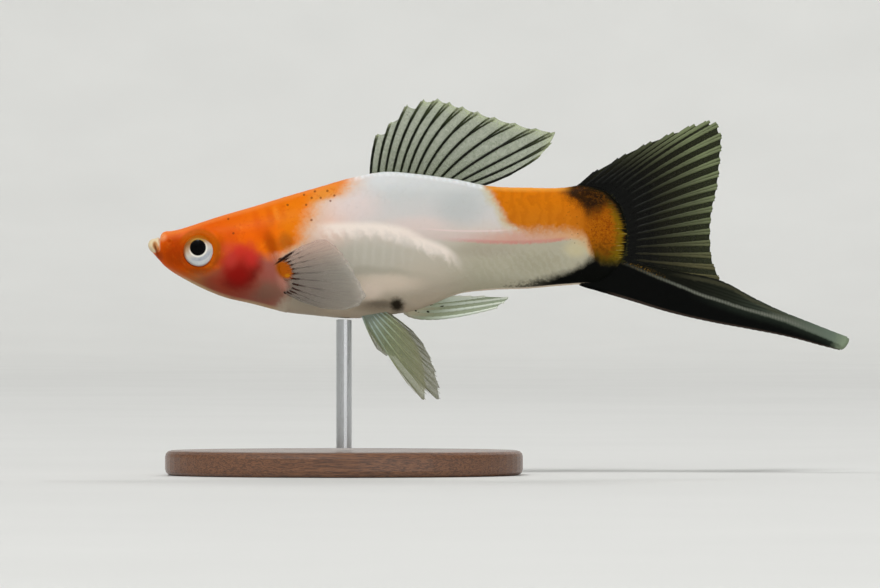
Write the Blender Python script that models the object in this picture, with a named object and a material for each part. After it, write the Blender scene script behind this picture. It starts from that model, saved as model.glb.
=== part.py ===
"""A male swordtail, life size, held still by a plain display stand.

Blender works in metres with +Z up. The fish faces -X, so its left side faces -Y.
The origin is the middle of the base's underside, straight below the rod.
Sizes are millimetres. Fish coordinates run back from the tip of the lower lip (x),
out from the middle plane (y) and up from the line through the eye (z).
"""

import math

import bmesh
import bpy
import numpy as np

MM = 0.001
GAP = 0.3  # clearance that neighbouring solids keep
SINK = 1.2  # a fin's root starts this far inside the body, before it is trimmed
MERGE = 0.004  # points closer than this are one point after a cut

# Where the fish sits over the stand
LIP_X = -24.8  # lip, ahead of the rod
EYE_LINE_Z = 29.0  # height of the eye line over the floor

# Rows from the front of the lower jaw to the root of the tail fin:
# back x, back z, belly x, belly z, half width, height share of the widest level,
# power of the upper curve, power of the lower curve (2 is an ellipse, more is squarer)
BODY_ROWS = np.array(
    [
        (-0.33, 0.80, -0.35, 0.42, 0.58, 0.50, 2.0, 2.0),  # front of the lower jaw
        (-0.17, 1.12, -0.22, 0.05, 0.98, 0.50, 2.2, 2.0),
        (0.18, 1.36, 0.00, -0.22, 1.22, 0.50, 2.4, 2.0),  # lower lip
        (0.50, 1.40, 0.24, -0.44, 1.30, 0.50, 2.4, 2.0),
        (0.58, 1.08, 0.38, -0.60, 1.06, 0.50, 2.4, 2.0),  # line of the mouth
        (0.72, 1.48, 0.52, -0.74, 1.42, 0.50, 2.4, 2.0),  # upper lip
        (1.00, 1.52, 0.74, -1.00, 1.56, 0.50, 2.4, 2.0),
        (1.18, 1.30, 0.92, -1.20, 1.56, 0.50, 2.4, 2.0),  # fold behind the lips
        (1.24, 1.74, 1.06, -1.36, 1.66, 0.50, 2.4, 2.0),
        (1.42, 2.08, 1.26, -1.58, 1.80, 0.50, 2.5, 2.0),  # snout
        (1.80, 2.30, 1.62, -1.98, 1.96, 0.50, 2.6, 2.1),
        (2.60, 2.38, 2.30, -2.55, 2.20, 0.52, 2.6, 2.1),
        (3.60, 2.58, 3.10, -3.10, 2.50, 0.54, 2.6, 2.1),
        (5.00, 3.00, 4.40, -3.85, 2.92, 0.56, 2.6, 2.1),
        (6.80, 3.60, 6.30, -4.85, 3.38, 0.57, 2.6, 2.1),  # eye
        (9.30, 4.40, 9.10, -6.02, 3.90, 0.55, 2.4, 2.1),
        (13.1, 5.50, 13.1, -7.00, 4.45, 0.52, 2.2, 2.1),  # gill cover
        (17.0, 6.72, 17.0, -7.98, 4.75, 0.50, 2.1, 2.2),
        (21.5, 8.02, 21.5, -8.55, 4.85, 0.50, 2.1, 2.2),  # widest
        (26.1, 9.32, 26.1, -8.85, 4.80, 0.50, 2.1, 2.2),  # deepest
        (30.0, 10.0, 30.0, -8.48, 4.55, 0.50, 2.1, 2.1),
        (33.9, 9.76, 33.9, -7.85, 4.15, 0.50, 2.1, 2.0),  # vent
        (36.6, 9.42, 36.6, -6.90, 3.82, 0.50, 2.1, 2.0),
        (39.1, 9.05, 39.1, -5.85, 3.50, 0.49, 2.1, 2.1),
        (43.7, 8.15, 43.7, -5.22, 2.95, 0.48, 2.1, 2.2),
        (48.2, 7.98, 48.2, -5.05, 2.40, 0.47, 2.2, 2.2),
        (53.4, 8.02, 53.4, -4.62, 1.80, 0.47, 2.3, 2.3),
        (56.2, 8.50, 56.2, -4.48, 1.38, 0.47, 2.5, 2.5),
        (59.0, 8.65, 59.0, -4.80, 0.92, 0.47, 2.8, 2.8),
        (63.0, 8.65, 63.0, -4.90, 0.48, 0.47, 3.2, 3.2),  # inside the tail fin
    ]
)
SNOUT_ROW = 9  # where the body that trims the fins starts, behind the mouth
RING_STEP = 1.35  # rings are no further apart than this
BODY_SEGMENTS = 32

# Rear margin of the gill cover, from nape to throat, as x and z
COVER_MARGIN = [
    (12.6, 9.0), (13.2, 6.0), (13.9, 3.2), (15.2, 1.3), (16.05, -0.6),
    (16.2, -2.3), (15.4, -4.3), (13.7, -6.1), (12.2, -7.2), (11.0, -9.5),
]
COVER_LIFT = 0.24  # the margin stands this far proud of the shoulder
COVER_REACH = 6.0  # length ahead of the margin over which it rises
COVER_TOP, COVER_FADE = 1.2, 2.2  # the lift fades out above this height

# Cut between torso and tail stalk, and the rounded end of the stalk
STALK_FRONT = [(44.6, 11.0), (45.2, 5.0), (46.0, 1.5), (45.2, -2.0), (44.6, -8.0)]
STALK_END = [
    (55.1, 12.0), (55.1, 8.4), (57.7, 7.8), (59.7, 6.5), (60.9, 4.5), (61.35, 1.95),
    (61.0, -0.65), (60.1, -2.35), (58.6, -3.7), (56.8, -4.7), (56.8, -9.0),
]
CUT_POINTS = 28
CUT_FRONT = -6.0  # front end of the cutting blocks along the fish
CUT_HALF_DEPTH = 12.0

# Eyes
EYE_X, EYE_Z = 6.28, -0.18
EYE_RADIUS, EYE_DEPTH = 1.95, 1.05
EYE_Y = 3.0  # middle of the ball
EYE_TURN = math.radians(8)  # towards the snout
RIM_TUBE = 0.28  # rounded rim of skin round the eye
RIM_SINK = 0.15

# Nostrils
NOSTRIL_X, NOSTRIL_Z, NOSTRIL_RADIUS = 2.6, 1.15, 0.24

# Fin solids: half thickness on a ray and on the web, at the root and at the edge
RAY_ROOT, RAY_EDGE = 0.50, 0.36
WEB_ROOT, WEB_EDGE = 0.25, 0.22

# Dorsal fin
DORSAL_RAYS = 14
DORSAL_ROOT = (28.6, 40.3)  # first and last ray along the back
DORSAL_TIPS = [  # share of the rays counted from the front, then x and z of the tip
    (0.00, 29.1, 14.9), (0.08, 30.9, 16.5), (0.16, 33.1, 18.8), (0.24, 35.3, 19.4),
    (0.46, 40.0, 18.4), (0.62, 44.3, 17.0), (0.77, 49.5, 15.6), (0.85, 52.0, 15.1),
    (0.92, 51.6, 13.8), (1.00, 50.1, 12.1),
]
DORSAL_BOW = [(0.0, 0.05), (0.7, 0.055), (0.85, 0.0), (1.0, -0.06)]

# Tail fin: the fan above the sword
TAIL_RAYS = 19
TAIL_ROOT_SHARE = 0.70  # the fan takes this share of the stalk's end, from the top
TAIL_TIPS = [
    (0.00, 57.0, 9.9), (0.08, 62.4, 12.9), (0.16, 67.0, 14.9), (0.24, 70.9, 16.3),
    (0.30, 72.6, 16.4), (0.36, 73.3, 14.9), (0.46, 73.2, 11.9), (0.58, 72.8, 8.1),
    (0.70, 72.1, 4.8), (0.82, 71.9, 1.5), (0.92, 72.2, -1.5), (1.00, 73.1, -3.75),
]
TAIL_BOW = [(0.0, 0.0), (0.1, 0.0), (0.3, 0.03), (0.6, 0.02), (1.0, -0.01)]

# Sword: its two edges, root to tip
SWORD_UPPER = [
    (60.6, -1.75), (67.2, -3.0), (73.6, -4.4), (77.2, -6.3), (80.8, -8.0),
    (84.5, -9.45), (88.0, -10.8), (89.9, -11.5),
]
SWORD_LOWER = [
    (56.9, -4.85), (61.4, -6.2), (66.6, -7.8), (71.8, -9.05), (77.0, -10.05),
    (82.1, -11.1), (86.5, -12.3), (89.0, -12.95),
]
SWORD_RAYS = 6

# Gonopodium, the male's narrow anal fin, with the short web behind it
GONOPODIUM_RAYS = 6
GONOPODIUM_ROOT = (33.7, 37.6)
GONOPODIUM_TIPS = [
    (0.0, 44.5, -7.4), (0.2, 45.4, -6.75), (0.4, 45.9, -6.2), (0.6, 42.9, -6.05),
    (0.8, 41.2, -6.05), (1.0, 39.9, -6.05),
]
GONOPODIUM_BOW = [(0.0, -0.11), (0.2, -0.06), (0.4, -0.02), (1.0, 0.0)]
GONOPODIUM_SKEW = 0.6  # below 1, the bow is fullest nearer the root

# Paired fins are laid out flat: length runs back from the root, height runs up
PECTORAL_RAYS = 12
PECTORAL_AT = (16.95, 4.62, -2.5)
PECTORAL_OUT, PECTORAL_LEAN = math.radians(22), math.radians(9)
PECTORAL_ROOT = [(0.0, 0.0, 1.2), (0.5, 0.1, -0.7), (1.0, 0.9, -2.7)]
PECTORAL_TIPS = [
    (0.00, 2.5, 3.0), (0.14, 5.9, 3.9), (0.28, 8.1, 2.7), (0.42, 9.4, 0.9),
    (0.56, 10.6, -1.3), (0.68, 11.5, -3.8), (0.80, 9.2, -5.3), (0.90, 5.8, -5.3),
    (1.00, 2.4, -4.4),
]
PECTORAL_BOW = [(0.0, 0.0), (0.2, 0.02), (0.5, 0.0), (0.8, -0.03), (1.0, 0.0)]

PELVIC_RAYS = 7
PELVIC_AT = (28.3, 1.25, -8.3)
PELVIC_OUT = math.radians(15)
PELVIC_DROP_LEFT, PELVIC_DROP_RIGHT = math.radians(54), math.radians(48)
PELVIC_ROOT = [(0.0, 0.0, -0.75), (1.0, 0.0, 0.85)]
PELVIC_TIPS = [
    (0.00, 4.1, -2.0), (0.17, 12.9, -1.1), (0.34, 12.1, 0.2), (0.50, 10.4, 1.2),
    (0.67, 8.7, 1.9), (0.84, 6.8, 2.4), (1.00, 4.9, 2.5),
]
PELVIC_BOW = [(0.0, -0.04), (0.3, -0.03), (1.0, 0.04)]
PELVIC_LENGTH_RIGHT = 1.09  # the far fin reaches a little further

# Edges that turn more than this, in degrees, are shaded sharp
BODY_SHARP, FIN_SHARP = 35, 12

# Stand
BASE_LENGTH, BASE_WIDTH, BASE_THICK, BASE_BEVEL = 46.0, 28.0, 3.2, 0.8
ROD_RADIUS = 1.0

COLOURS = {  # base colour, roughness, metallic
    "skin_orange": ((0.80, 0.24, 0.03), 0.35, 0.0),
    "skin_white": ((0.72, 0.68, 0.64), 0.35, 0.0),
    "skin_rear": ((0.72, 0.30, 0.04), 0.35, 0.0),
    "eye": ((0.62, 0.66, 0.68), 0.15, 0.0),
    "fin_clear": ((0.50, 0.53, 0.46), 0.40, 0.0),
    "fin_black": ((0.03, 0.035, 0.03), 0.40, 0.0),
    "walnut": ((0.20, 0.10, 0.05), 0.45, 0.0),
    "steel": ((0.62, 0.62, 0.62), 0.30, 1.0),
}


def curve_through(knots, rows, at):
    """Smooth curve through rows of values placed at knots, read at the places in at."""
    knots, rows = np.asarray(knots, float), np.asarray(rows, float)
    slopes = np.gradient(rows, knots, axis=0)
    at = np.clip(np.atleast_1d(np.asarray(at, float)), knots[0], knots[-1])
    i = np.clip(np.searchsorted(knots, at) - 1, 0, len(knots) - 2)
    span = knots[i + 1] - knots[i]
    t = (at - knots[i]) / span
    if rows.ndim > 1:
        t, span = t[:, None], span[:, None]
    return (
        rows[i] * (2 * t**3 - 3 * t**2 + 1)
        + rows[i + 1] * (3 * t**2 - 2 * t**3)
        + slopes[i] * span * (t**3 - 2 * t**2 + t)
        + slopes[i + 1] * span * (t**3 - t**2)
    )


def by_share(table, share):
    """Reads a table whose first column is the share of the rays."""
    table = np.array(table)
    return curve_through(table[:, 0], table[:, 1:], share)


def along(points, count):
    """The smooth curve through points, as count points evenly spaced along it."""
    points = np.array(points)
    steps = np.linalg.norm(np.diff(points, axis=0), axis=1)
    knots = np.concatenate([[0], np.cumsum(steps)])
    return curve_through(knots, points, np.linspace(0, knots[-1], count))


def body_knots():
    """Distance along the body of each row, the mean of its back and belly paths."""
    back, belly = np.diff(BODY_ROWS[:, 0:2], axis=0), np.diff(BODY_ROWS[:, 2:4], axis=0)
    steps = (np.linalg.norm(back, axis=1) + np.linalg.norm(belly, axis=1)) / 2
    return np.concatenate([[0], np.cumsum(steps)])


def body_places(step=RING_STEP, first_row=0):
    """Places of the rings: one on every row, and more where rows are far apart."""
    knots = body_knots()[first_row:]
    places = [knots[:1]]
    for start, end in zip(knots, knots[1:]):
        places.append(np.linspace(start, end, math.ceil((end - start) / step) + 1)[1:])
    return np.concatenate(places)


def body_surface(places, angles):
    """Grid of body points in fish coordinates, ring by ring."""
    row = curve_through(body_knots(), BODY_ROWS, places)[:, :, None]
    back_x, back_z, belly_x, belly_z, half, widest, upper, lower = np.swapaxes(row, 0, 1)
    c, s = np.cos(angles)[None, :], np.sin(angles)[None, :]
    power = np.where(s > 0, upper, lower)
    out = np.sign(c) * np.abs(c) ** (2 / power)
    rise = np.abs(s) ** (2 / power)
    share = np.where(s > 0, widest + (1 - widest) * rise, widest * (1 - rise))
    x = belly_x + (back_x - belly_x) * share
    z = belly_z + (back_z - belly_z) * share
    return np.stack([x, half * out, z], axis=-1)


def skin_y(x, z):
    """Half width of the body at a point of the side view."""
    angles = np.linspace(-math.pi / 2, math.pi / 2, 181)
    grid = body_surface(body_places(0.15, SNOUT_ROW), angles)
    nearest = np.argmin((grid[..., 0] - x) ** 2 + (grid[..., 2] - z) ** 2)
    return float(grid.reshape(-1, 3)[nearest, 1])


def back_height(x):
    """Height of the back's middle line at x."""
    rows = BODY_ROWS[SNOUT_ROW + 1 :]
    return curve_through(rows[:, 0], rows[:, 1], x)


def belly_height(x):
    """Height of the belly's middle line at x."""
    rows = BODY_ROWS[SNOUT_ROW + 1 :]
    return curve_through(rows[:, 2], rows[:, 3], x)


def cover_lift(points):
    """How far the gill cover stands proud, rising towards its rear margin."""
    margin = np.array(COVER_MARGIN)[::-1]
    margin_x = curve_through(margin[:, 1], margin[:, 0], points[..., 2].ravel())
    ahead = np.maximum(margin_x.reshape(points.shape[:-1]) - points[..., 0], 0)
    rise = np.clip(1 - ahead / COVER_REACH, 0, 1) ** 2
    fade = np.clip((COVER_TOP + COVER_FADE - points[..., 2]) / COVER_FADE, 0, 1)
    return COVER_LIFT * rise * fade


def world(points):
    """Fish millimetres to Blender metres."""
    return (np.asarray(points) + (LIP_X, 0, EYE_LINE_Z)) * MM


def material(name):
    if name in bpy.data.materials:
        return bpy.data.materials[name]
    colour, roughness, metallic = COLOURS[name]
    made = bpy.data.materials.new(name)
    made.use_nodes = True
    shader = made.node_tree.nodes["Principled BSDF"]
    shader.inputs["Base Color"].default_value = (*colour, 1)
    shader.inputs["Roughness"].default_value = roughness
    shader.inputs["Metallic"].default_value = metallic
    made.diffuse_color = (*colour, 1)
    return made


def new_object(name, points, faces, finish=None):
    mesh = bpy.data.meshes.new(name)
    mesh.from_pydata(np.asarray(points).reshape(-1, 3).tolist(), [], faces)
    made = bpy.data.objects.new(name, mesh)
    bpy.context.scene.collection.objects.link(made)
    if finish:
        mesh.materials.append(material(finish))
    return made


def apply_modifiers(obj):
    graph = bpy.context.evaluated_depsgraph_get()
    mesh = bpy.data.meshes.new_from_object(obj.evaluated_get(graph))
    old = obj.data
    obj.modifiers.clear()
    obj.data = mesh
    bpy.data.meshes.remove(old)


def boolean(obj, operation, others):
    """Joins to, cuts from or trims obj with the others, which are then removed."""
    group = bpy.data.collections.new("operands")
    for other in others:
        group.objects.link(other)
    modifier = obj.modifiers.new(operation.title(), "BOOLEAN")
    modifier.operation = operation
    modifier.operand_type = "COLLECTION"
    modifier.collection = group
    apply_modifiers(obj)
    for other in others:
        bpy.data.objects.remove(other)
    bpy.data.collections.remove(group)
    keep_largest(obj)


def keep_largest(obj):
    """Keeps the largest closed surface of obj and drops loose scraps."""
    work = bmesh.new()
    work.from_mesh(obj.data)
    bmesh.ops.remove_doubles(work, verts=work.verts, dist=MERGE * MM)
    left, islands = set(work.verts), []
    while left:
        island, todo = set(), [left.pop()]
        while todo:
            vertex = todo.pop()
            island.add(vertex)
            near = {edge.other_vert(vertex) for edge in vertex.link_edges} & left
            left -= near
            todo.extend(near)
        islands.append(island)
    largest = max(islands, key=len)
    loose = [vertex for vertex in work.verts if vertex not in largest]
    bmesh.ops.delete(work, geom=loose, context="VERTS")
    bmesh.ops.triangulate(work, faces=work.faces)
    work.to_mesh(obj.data)
    work.free()


def soften(obj, angle=BODY_SHARP):
    obj.data.shade_smooth()
    obj.data.set_sharp_from_angle(angle=math.radians(angle))


def body_mesh(name, lift=False, grow=0.0, first_row=0):
    """The whole body as one closed skin. grow moves it out by that much."""
    angles = np.linspace(0, 2 * math.pi, BODY_SEGMENTS, endpoint=False)
    grid = body_surface(body_places(first_row=first_row), angles)
    if lift:
        side = np.sign(grid[..., 1]) * (np.abs(grid[..., 1]) > 0.5)
        grid[..., 1] += side * cover_lift(grid)
    rings, segments = grid.shape[:2]
    points = np.concatenate([grid.reshape(-1, 3), [grid[0].mean(0)], [grid[-1].mean(0)]])
    first, last = rings * segments, rings * segments + 1
    faces = []
    for i in range(rings - 1):
        for j in range(segments):
            a, b = i * segments + j, i * segments + (j + 1) % segments
            faces.append((a, b, b + segments, a + segments))
    for j in range(segments):
        k = (j + 1) % segments
        faces.append((first, k, j))
        faces.append((last, (rings - 1) * segments + j, (rings - 1) * segments + k))
    obj = new_object(name, world(points), faces)
    work = bmesh.new()
    work.from_mesh(obj.data)
    bmesh.ops.recalc_face_normals(work, faces=work.faces)
    bmesh.ops.triangulate(work, faces=work.faces)
    work.normal_update()
    for vertex in work.verts:
        vertex.co += vertex.normal * grow * MM
    work.to_mesh(obj.data)
    work.free()
    return obj


def shifted(curve, distance):
    """A curve of the side view, moved sideways: forward if distance is negative."""
    points = along(curve, CUT_POINTS)
    run = np.gradient(points, axis=0)
    run /= np.linalg.norm(run, axis=1)[:, None]
    return points + distance * np.stack([-run[:, 1], run[:, 0]], axis=1)


def block(name, front, rear):
    """A block right across the fish, between two curves of its side view."""
    outline = [(x, z) for x, z in front] + [(x, z) for x, z in rear[::-1]]
    count = len(outline)
    points = [(x, y, z) for y in (-CUT_HALF_DEPTH, CUT_HALF_DEPTH) for x, z in outline]
    faces = [tuple(range(count)), tuple(range(2 * count - 1, count - 1, -1))]
    faces += [(i, count + i, count + (i + 1) % count, (i + 1) % count) for i in range(count)]
    obj = new_object(name, world(points), faces)
    work = bmesh.new()
    work.from_mesh(obj.data)
    bmesh.ops.recalc_face_normals(work, faces=work.faces)
    work.to_mesh(obj.data)
    work.free()
    obj.hide_render = True
    return obj


def upright(x):
    """A straight vertical edge for a cutting block."""
    return np.array([(x, 16.0), (x, -14.0)])


def sheet_solid(name, middle, half, normal, finish):
    """A closed fin: a grid of middle points, thickened along normal by half each way."""
    rows, columns = middle.shape[:2]
    offset = half[..., None] * np.asarray(normal)
    points = np.concatenate([(middle + offset).reshape(-1, 3), (middle - offset).reshape(-1, 3)])
    back = rows * columns
    faces = []
    for i in range(rows - 1):
        for j in range(columns - 1):
            a, b = i * columns + j, i * columns + j + 1
            c, d = b + columns, a + columns
            faces += [(a, b, c), (a, c, d)]
            faces += [(back + a, back + c, back + b), (back + a, back + d, back + c)]
    rim = [(0, j) for j in range(columns - 1)]
    rim += [(i, columns - 1) for i in range(rows - 1)]
    rim += [(rows - 1, j) for j in range(columns - 1, 0, -1)]
    rim += [(i, 0) for i in range(rows - 1, 0, -1)]
    ids = [i * columns + j for i, j in rim]
    for a, b in zip(ids, ids[1:] + ids[:1]):
        faces += [(b, a, back + a), (b, back + a, back + b)]
    obj = new_object(name, world(points), faces, finish)
    work = bmesh.new()
    work.from_mesh(obj.data)
    bmesh.ops.recalc_face_normals(work, faces=work.faces)
    work.to_mesh(obj.data)
    work.free()
    return obj


def fan(root, tips, bow, rays, inward, scallop, skew=1.0, steps=8):
    """Flat grid of a fin: a column on every ray and one on the web between rays.

    inward is the direction into the body, along which the root is sunk. skew moves
    the fullest place of the bow.
    """
    share = np.linspace(0, 1, 2 * rays - 1)
    tip, bend = by_share(tips, share), by_share(bow, share)[:, 0]
    run = tip - root
    length = np.linalg.norm(run, axis=1)
    run /= length[:, None]
    is_web = np.arange(len(share)) % 2 == 1
    tip = tip - run * (scallop * is_web)[:, None]
    root = root + np.multiply(inward, SINK)
    side = np.stack([-run[:, 1], run[:, 0]], axis=1)
    s = np.linspace(0, 1, steps + 1)[:, None, None]
    t = s**skew
    arch = 4 * t * (1 - t) * (bend * length)[None, :, None]
    return root + (tip - root) * s + side * arch


def ray_thickness(steps, columns, ray_root=RAY_ROOT, ray_edge=RAY_EDGE):
    """Half thickness over a fan: proud on every other column, thinner to the edge."""
    s = np.linspace(0, 1, steps + 1)[:, None]
    on_ray = np.arange(columns)[None, :] % 2 == 0
    ray = ray_root + (ray_edge - ray_root) * s
    web = WEB_ROOT + (WEB_EDGE - WEB_ROOT) * s
    return np.where(on_ray, ray, web)


def in_middle_plane(flat, ripple=0.0, waves=1.5):
    """Stands a flat grid upright on the fish's middle plane, with a slight ripple."""
    rows, columns = flat.shape[:2]
    s, f = np.linspace(0, 1, rows)[:, None], np.linspace(0, 1, columns)[None, :]
    y = ripple * s**1.5 * np.sin(2 * math.pi * waves * f + 0.6)
    return np.stack([flat[..., 0], y, flat[..., 1]], axis=-1)


def trimming_body():
    return body_mesh("trim", grow=GAP, first_row=SNOUT_ROW)


def make_head():
    head = body_mesh("head", lift=True)
    front = block("head_block", upright(CUT_FRONT), shifted(COVER_MARGIN, -GAP / 2))
    boolean(head, "INTERSECT", [front])
    boolean(head, "UNION", [eye_rim(side) for side in (-1, 1)])
    cuts = [eye_ball("socket", side, GAP) for side in (-1, 1)]
    cuts += [nostril(side) for side in (-1, 1)]
    boolean(head, "DIFFERENCE", cuts)
    head.data.materials.clear()
    head.data.materials.append(material("skin_orange"))
    soften(head)


def make_torso():
    torso = body_mesh("torso")
    middle = block(
        "torso_block", shifted(COVER_MARGIN, GAP / 2), shifted(STALK_FRONT, -GAP / 2)
    )
    boolean(torso, "INTERSECT", [middle])
    torso.data.materials.append(material("skin_white"))
    soften(torso)


def make_tail_stalk():
    stalk = body_mesh("tail_stalk")
    rear = block("stalk_block", shifted(STALK_FRONT, GAP / 2), shifted(STALK_END, 0))
    boolean(stalk, "INTERSECT", [rear])
    stalk.data.materials.append(material("skin_rear"))
    soften(stalk)


def turned(obj, at, turn_z):
    """Turns an object's mesh about Z, moves it to a fish point and bakes that in."""
    x, y, z = world(at)
    c, s = math.cos(turn_z), math.sin(turn_z)
    for vertex in obj.data.vertices:
        px, py, pz = vertex.co
        vertex.co = (x + c * px - s * py, y + s * px + c * py, z + pz)
    return obj


def eye_ball(name, side, grow=0.0):
    """A flattened ball that faces out and a little forward."""
    work = bmesh.new()
    bmesh.ops.create_uvsphere(work, u_segments=24, v_segments=12, radius=MM)
    wide, deep = EYE_RADIUS + grow, EYE_DEPTH + grow
    for vertex in work.verts:
        x, y, z = vertex.co
        vertex.co = (x * wide, z * deep, -y * wide)
    obj = new_object(name, np.zeros((0, 3)), [])
    work.to_mesh(obj.data)
    work.free()
    return turned(obj, (EYE_X, side * EYE_Y, EYE_Z), side * EYE_TURN)


def eye_rim(side):
    """The rounded rim of skin round the eye, mostly sunk in the head."""
    bpy.ops.mesh.primitive_torus_add(
        major_radius=(EYE_RADIUS + GAP + RIM_TUBE * 0.6) * MM,
        minor_radius=RIM_TUBE * MM,
        major_segments=26,
        minor_segments=8,
        rotation=(math.pi / 2, 0, 0),
    )
    rim = bpy.context.object
    rim.name = "eye_rim"
    rim.data.transform(rim.matrix_basis)
    rim.matrix_basis.identity()
    level = skin_y(EYE_X, EYE_Z) - RIM_SINK
    return turned(rim, (EYE_X, side * level, EYE_Z), side * 1.5 * EYE_TURN)


def nostril(side):
    """A small pit ahead of the eye."""
    work = bmesh.new()
    bmesh.ops.create_icosphere(work, subdivisions=2, radius=NOSTRIL_RADIUS * MM)
    obj = new_object("nostril", np.zeros((0, 3)), [])
    work.to_mesh(obj.data)
    work.free()
    return turned(obj, (NOSTRIL_X, side * skin_y(NOSTRIL_X, NOSTRIL_Z), NOSTRIL_Z), 0)


def make_eyes():
    for name, side in (("eye_left", -1), ("eye_right", 1)):
        eye = eye_ball(name, side)
        eye.data.materials.append(material("eye"))
        soften(eye, 60)


def make_dorsal_fin():
    share = np.linspace(0, 1, 2 * DORSAL_RAYS - 1)
    x = DORSAL_ROOT[0] + (DORSAL_ROOT[1] - DORSAL_ROOT[0]) * share
    root = np.stack([x, back_height(x)], axis=1)
    flat = fan(root, DORSAL_TIPS, DORSAL_BOW, DORSAL_RAYS, (-0.3, -1), 0.25)
    fin = sheet_solid(
        "dorsal_fin", in_middle_plane(flat, 0.35), ray_thickness(8, len(share)),
        (0, 1, 0), "fin_clear",
    )
    boolean(fin, "DIFFERENCE", [trimming_body()])
    soften(fin, FIN_SHARP)


def make_tail_fin():
    columns = 2 * TAIL_RAYS - 1
    edge = along(STALK_END[1:-1], 200)
    root = edge[(np.linspace(0, TAIL_ROOT_SHARE, columns) * 199).astype(int)]
    flat = fan(root, TAIL_TIPS, TAIL_BOW, TAIL_RAYS, (-0.6, -0.6), 0.15)
    fin = sheet_solid(
        "tail_fin", in_middle_plane(flat, 0.45, 1.2), ray_thickness(8, columns),
        (0, 1, 0), "fin_black",
    )
    boolean(fin, "DIFFERENCE", [tail_root_block(), sword_block()])
    soften(fin, FIN_SHARP)


def tail_root_block():
    """Everything ahead of the stalk's rounded end, with the clearance."""
    return block("tail_root", upright(CUT_FRONT), shifted(STALK_END, GAP))


def sword_block():
    """The room of the sword's root, so that the fan stays clear of it."""
    upper = along(SWORD_UPPER[:3], 12) + (0.0, GAP)
    lower = upper - (0.0, 3.0)
    lower[0] -= (2.0, 0.0)
    return block("sword_room", lower, upper)


def make_sword():
    steps, columns = 22, 2 * SWORD_RAYS - 1
    upper = along(SWORD_UPPER, steps + 1)
    lower = along(SWORD_LOWER, steps + 1)
    upper[0] -= (SINK, -0.2)
    lower[0] -= (SINK, -0.3)
    f = np.linspace(0, 1, columns)[None, :, None]
    flat = upper[:, None] * (1 - f) + lower[:, None] * f
    half = ray_thickness(steps, columns, RAY_ROOT + 0.05, RAY_EDGE)
    sword = sheet_solid(
        "sword", in_middle_plane(flat, 0.0), half, (0, 1, 0), "fin_black"
    )
    boolean(sword, "DIFFERENCE", [tail_root_block()])
    soften(sword, FIN_SHARP)


def make_gonopodium():
    share = np.linspace(0, 1, 2 * GONOPODIUM_RAYS - 1)
    x = GONOPODIUM_ROOT[0] + (GONOPODIUM_ROOT[1] - GONOPODIUM_ROOT[0]) * share
    root = np.stack([x, belly_height(x)], axis=1)
    flat = fan(
        root, GONOPODIUM_TIPS, GONOPODIUM_BOW, GONOPODIUM_RAYS, (-1, 0.15), 0.1,
        GONOPODIUM_SKEW,
    )
    fin = sheet_solid(
        "gonopodium", in_middle_plane(flat), ray_thickness(8, len(share), 0.55, 0.36),
        (0, 1, 0), "fin_clear",
    )
    boolean(fin, "DIFFERENCE", [trimming_body()])
    soften(fin, FIN_SHARP)


def paired_fin(name, side, at, length_way, height_way, table, stretch=1.0):
    """A fin laid out flat in its own plane, then set on the body's side."""
    root_rows, tips, bow, rays, scallop = table
    root = by_share(root_rows, np.linspace(0, 1, 2 * rays - 1))
    flat = fan(root, tips, bow, rays, (-1, 0), scallop)
    length_way, height_way = np.array(length_way), np.array(height_way)
    normal = np.cross(length_way, height_way)
    normal /= np.linalg.norm(normal)
    reach = np.linspace(0, 1, flat.shape[0])[:, None, None]
    middle = (
        np.array(at)
        + flat[..., :1] * stretch * length_way
        + flat[..., 1:] * height_way
        - 0.8 * reach**2 * normal * np.sign(normal[1])
    )
    mirror = np.array([1, side, 1])
    fin = sheet_solid(
        name, middle * mirror, ray_thickness(8, flat.shape[1]), normal * mirror, "fin_clear"
    )
    boolean(fin, "DIFFERENCE", [trimming_body()])
    soften(fin, FIN_SHARP)


def make_pectoral_fins():
    table = (PECTORAL_ROOT, PECTORAL_TIPS, PECTORAL_BOW, PECTORAL_RAYS, 0.2)
    length_way = (math.cos(PECTORAL_OUT), math.sin(PECTORAL_OUT), 0)
    height_way = (0, math.sin(PECTORAL_LEAN), math.cos(PECTORAL_LEAN))
    for name, side in (("pectoral_fin_left", -1), ("pectoral_fin_right", 1)):
        paired_fin(name, side, PECTORAL_AT, length_way, height_way, table)


def make_pelvic_fins():
    table = (PELVIC_ROOT, PELVIC_TIPS, PELVIC_BOW, PELVIC_RAYS, 0.25)
    for name, side, drop, stretch in (
        ("pelvic_fin_left", -1, PELVIC_DROP_LEFT, 1.0),
        ("pelvic_fin_right", 1, PELVIC_DROP_RIGHT, PELVIC_LENGTH_RIGHT),
    ):
        down, out = math.sin(drop), math.sin(PELVIC_OUT)
        length_way = np.array([math.cos(drop), out, -down])
        length_way /= np.linalg.norm(length_way)
        height_way = (down, 0, math.cos(drop))
        paired_fin(name, side, PELVIC_AT, length_way, height_way, table, stretch)


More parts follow.
